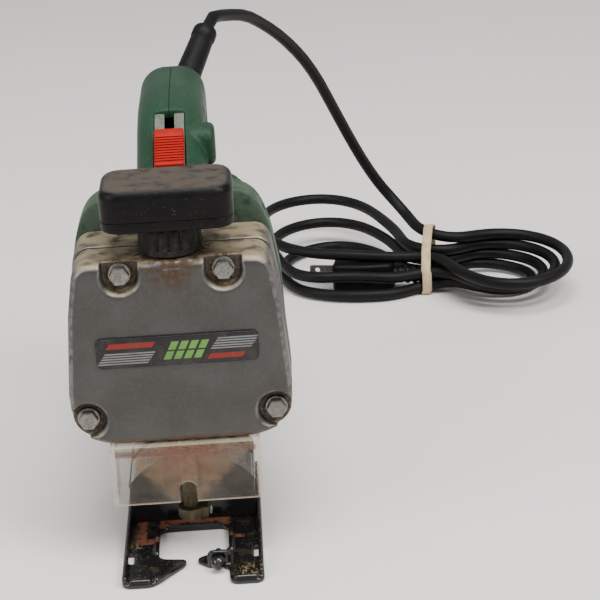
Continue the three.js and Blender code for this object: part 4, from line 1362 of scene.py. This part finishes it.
cord, cord_points, cord_length = make_cord()
strain_relief = finish_piece(
    make_strain_relief(), "cord_strain_relief", "housing", MATERIALS["cord_rubber"],
    "cord_rubber", "strain_relief",
)
plug = finish_piece(
    make_plug(), "mains_plug", "housing", MATERIALS["cord_rubber"], "cord_rubber", "plug_body"
)
prongs = [
    finish_piece(
        make_prong(side), f"mains_prong_{number}", "housing", MATERIALS["zinc_steel"],
        "gear_steel", f"plug_prong_{number}",
    )
    for number, side in ((1, 1), (2, -1))
]
band = finish_piece(
    make_band(cord_points), "rubber_band", "housing", MATERIALS["band_rubber"], "insulation"
)
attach(cord, "housing")
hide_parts("cord_lead", "cord_hank")

left_half, right_half = make_shells()
CAST, GREASY, ZINC = "cast_aluminium", "greasy_steel", "zinc_steel"
BLACK, GREEN, RED = "black_plastic", "green_plastic", "red_plastic"
PIECES = [
    (make_front_cover(), "cast_front_cover", "housing", CAST, CAST, "front_cover"),
    (make_gear_housing(), "cast_gear_housing", "housing", CAST, CAST, "gear_housing"),
    (make_name_plate(), "printed_plate", "housing", "plate_print", BLACK, "name_plate"),
    (make_knob_cap(), "scroller_cap", "scroller", BLACK, BLACK, "knob_cap"),
    (make_knob_base(), "scroller_base", "scroller", BLACK, BLACK, "knob_base"),
    (make_lock_collar(), "knurled_collar", "collar", "collar_black", BLACK, "lock_collar"),
    (make_plunger(), "plunger_rod_steel", "plunger_rod", GREASY, GREASY, "plunger"),
    (make_blade_clamp(), "clamp_block", "plunger_rod", GREASY, GREASY, "blade_clamp"),
    (make_clamp_screw(), "clamp_screw", "plunger_rod", ZINC, ZINC, "blade_clamp_screw"),
    (left_half, "moulded_left_shell", "housing", GREEN, GREEN, "left_shell"),
    (right_half, "moulded_right_shell", "housing", GREEN, GREEN, "right_shell"),
    (make_slide_button(), "ribbed_slide", "switch_button", RED, RED, "slide_button"),
    (make_switch_plate(), "slotted_plate", "housing", "dust_plate", GREASY, "switch_plate"),
    (make_chip_shield(), "clear_shield", "housing", None, "clear_plastic", "chip_shield"),
    (make_shoe(), "stamped_shoe", "shoe_plate", "black_paint", "black_paint", "shoe"),
    (make_fence_screw(), "ball_screw", "guide_screw", "black_paint", ZINC, "fence_clamp_screw"),
]
for piece, name, body, material, slot, node in PIECES:
    finish_piece(piece, name, body, MATERIALS.get(material), slot, node)
for index in range(4):
    finish_piece(
        make_cover_screw(index), f"hex_screw_{index + 1}", "housing", MATERIALS["zinc_steel"],
        "zinc_steel", f"cover_screw_{index + 1}",
    )

KEPT_NODES = {
    "gear_steel": [
        "scroller_sleeve", "crank_yoke", "drive_gear", "gear_axle", "front_bearing",
        "rear_bearing", "armature_shaft", "armature_core", "field_core",
    ],
    "zinc_steel": ["tilt_screw", "tilt_washer"] + [f"shell_screw_{k}" for k in range(1, 5)],
    "black_paint": ["shoe_bracket"],
    "black_plastic": ["cooling_fan"],
    "copper": ["commutator", "field_coil_upper", "field_coil_lower"],
    "bronze": ["plunger_bushing", "brush_holder_left", "brush_holder_right"],
    "carbon": ["brush_left", "brush_right"],
    "insulation": ["switch_body"],
}
for material, nodes in KEPT_NODES.items():
    for node in nodes:
        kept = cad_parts[node]
        kept.data.materials.clear()
        kept.data.materials.append(MATERIALS[material])


def make_floor():
    mesh = bmesh.new()
    bmesh.ops.create_grid(mesh, x_segments=2, y_segments=2, size=6)
    floor = as_object(mesh, "floor")
    s = Surface("floor_white", (0.80, 0.755, 0.73), 0.6)
    s.layer(s.noise(300, 0.3, 0.7), (0.78, 0.735, 0.71), 0.55, 0.6)
    floor.data.materials.append(s.done())


make_floor()
make_world((0.82, 0.82, 0.84), 0.62)
make_area_light("key", (1.1, -0.9, 1.6), (0, 0, 0.08), 1.1, 36)
make_area_light("top", (0.1, -0.4, 2.0), (0, 0, 0.08), 1.2, 40)
make_area_light("fill", (-1.5, -0.9, 1.1), (0, 0, 0.08), 1.2, 22)
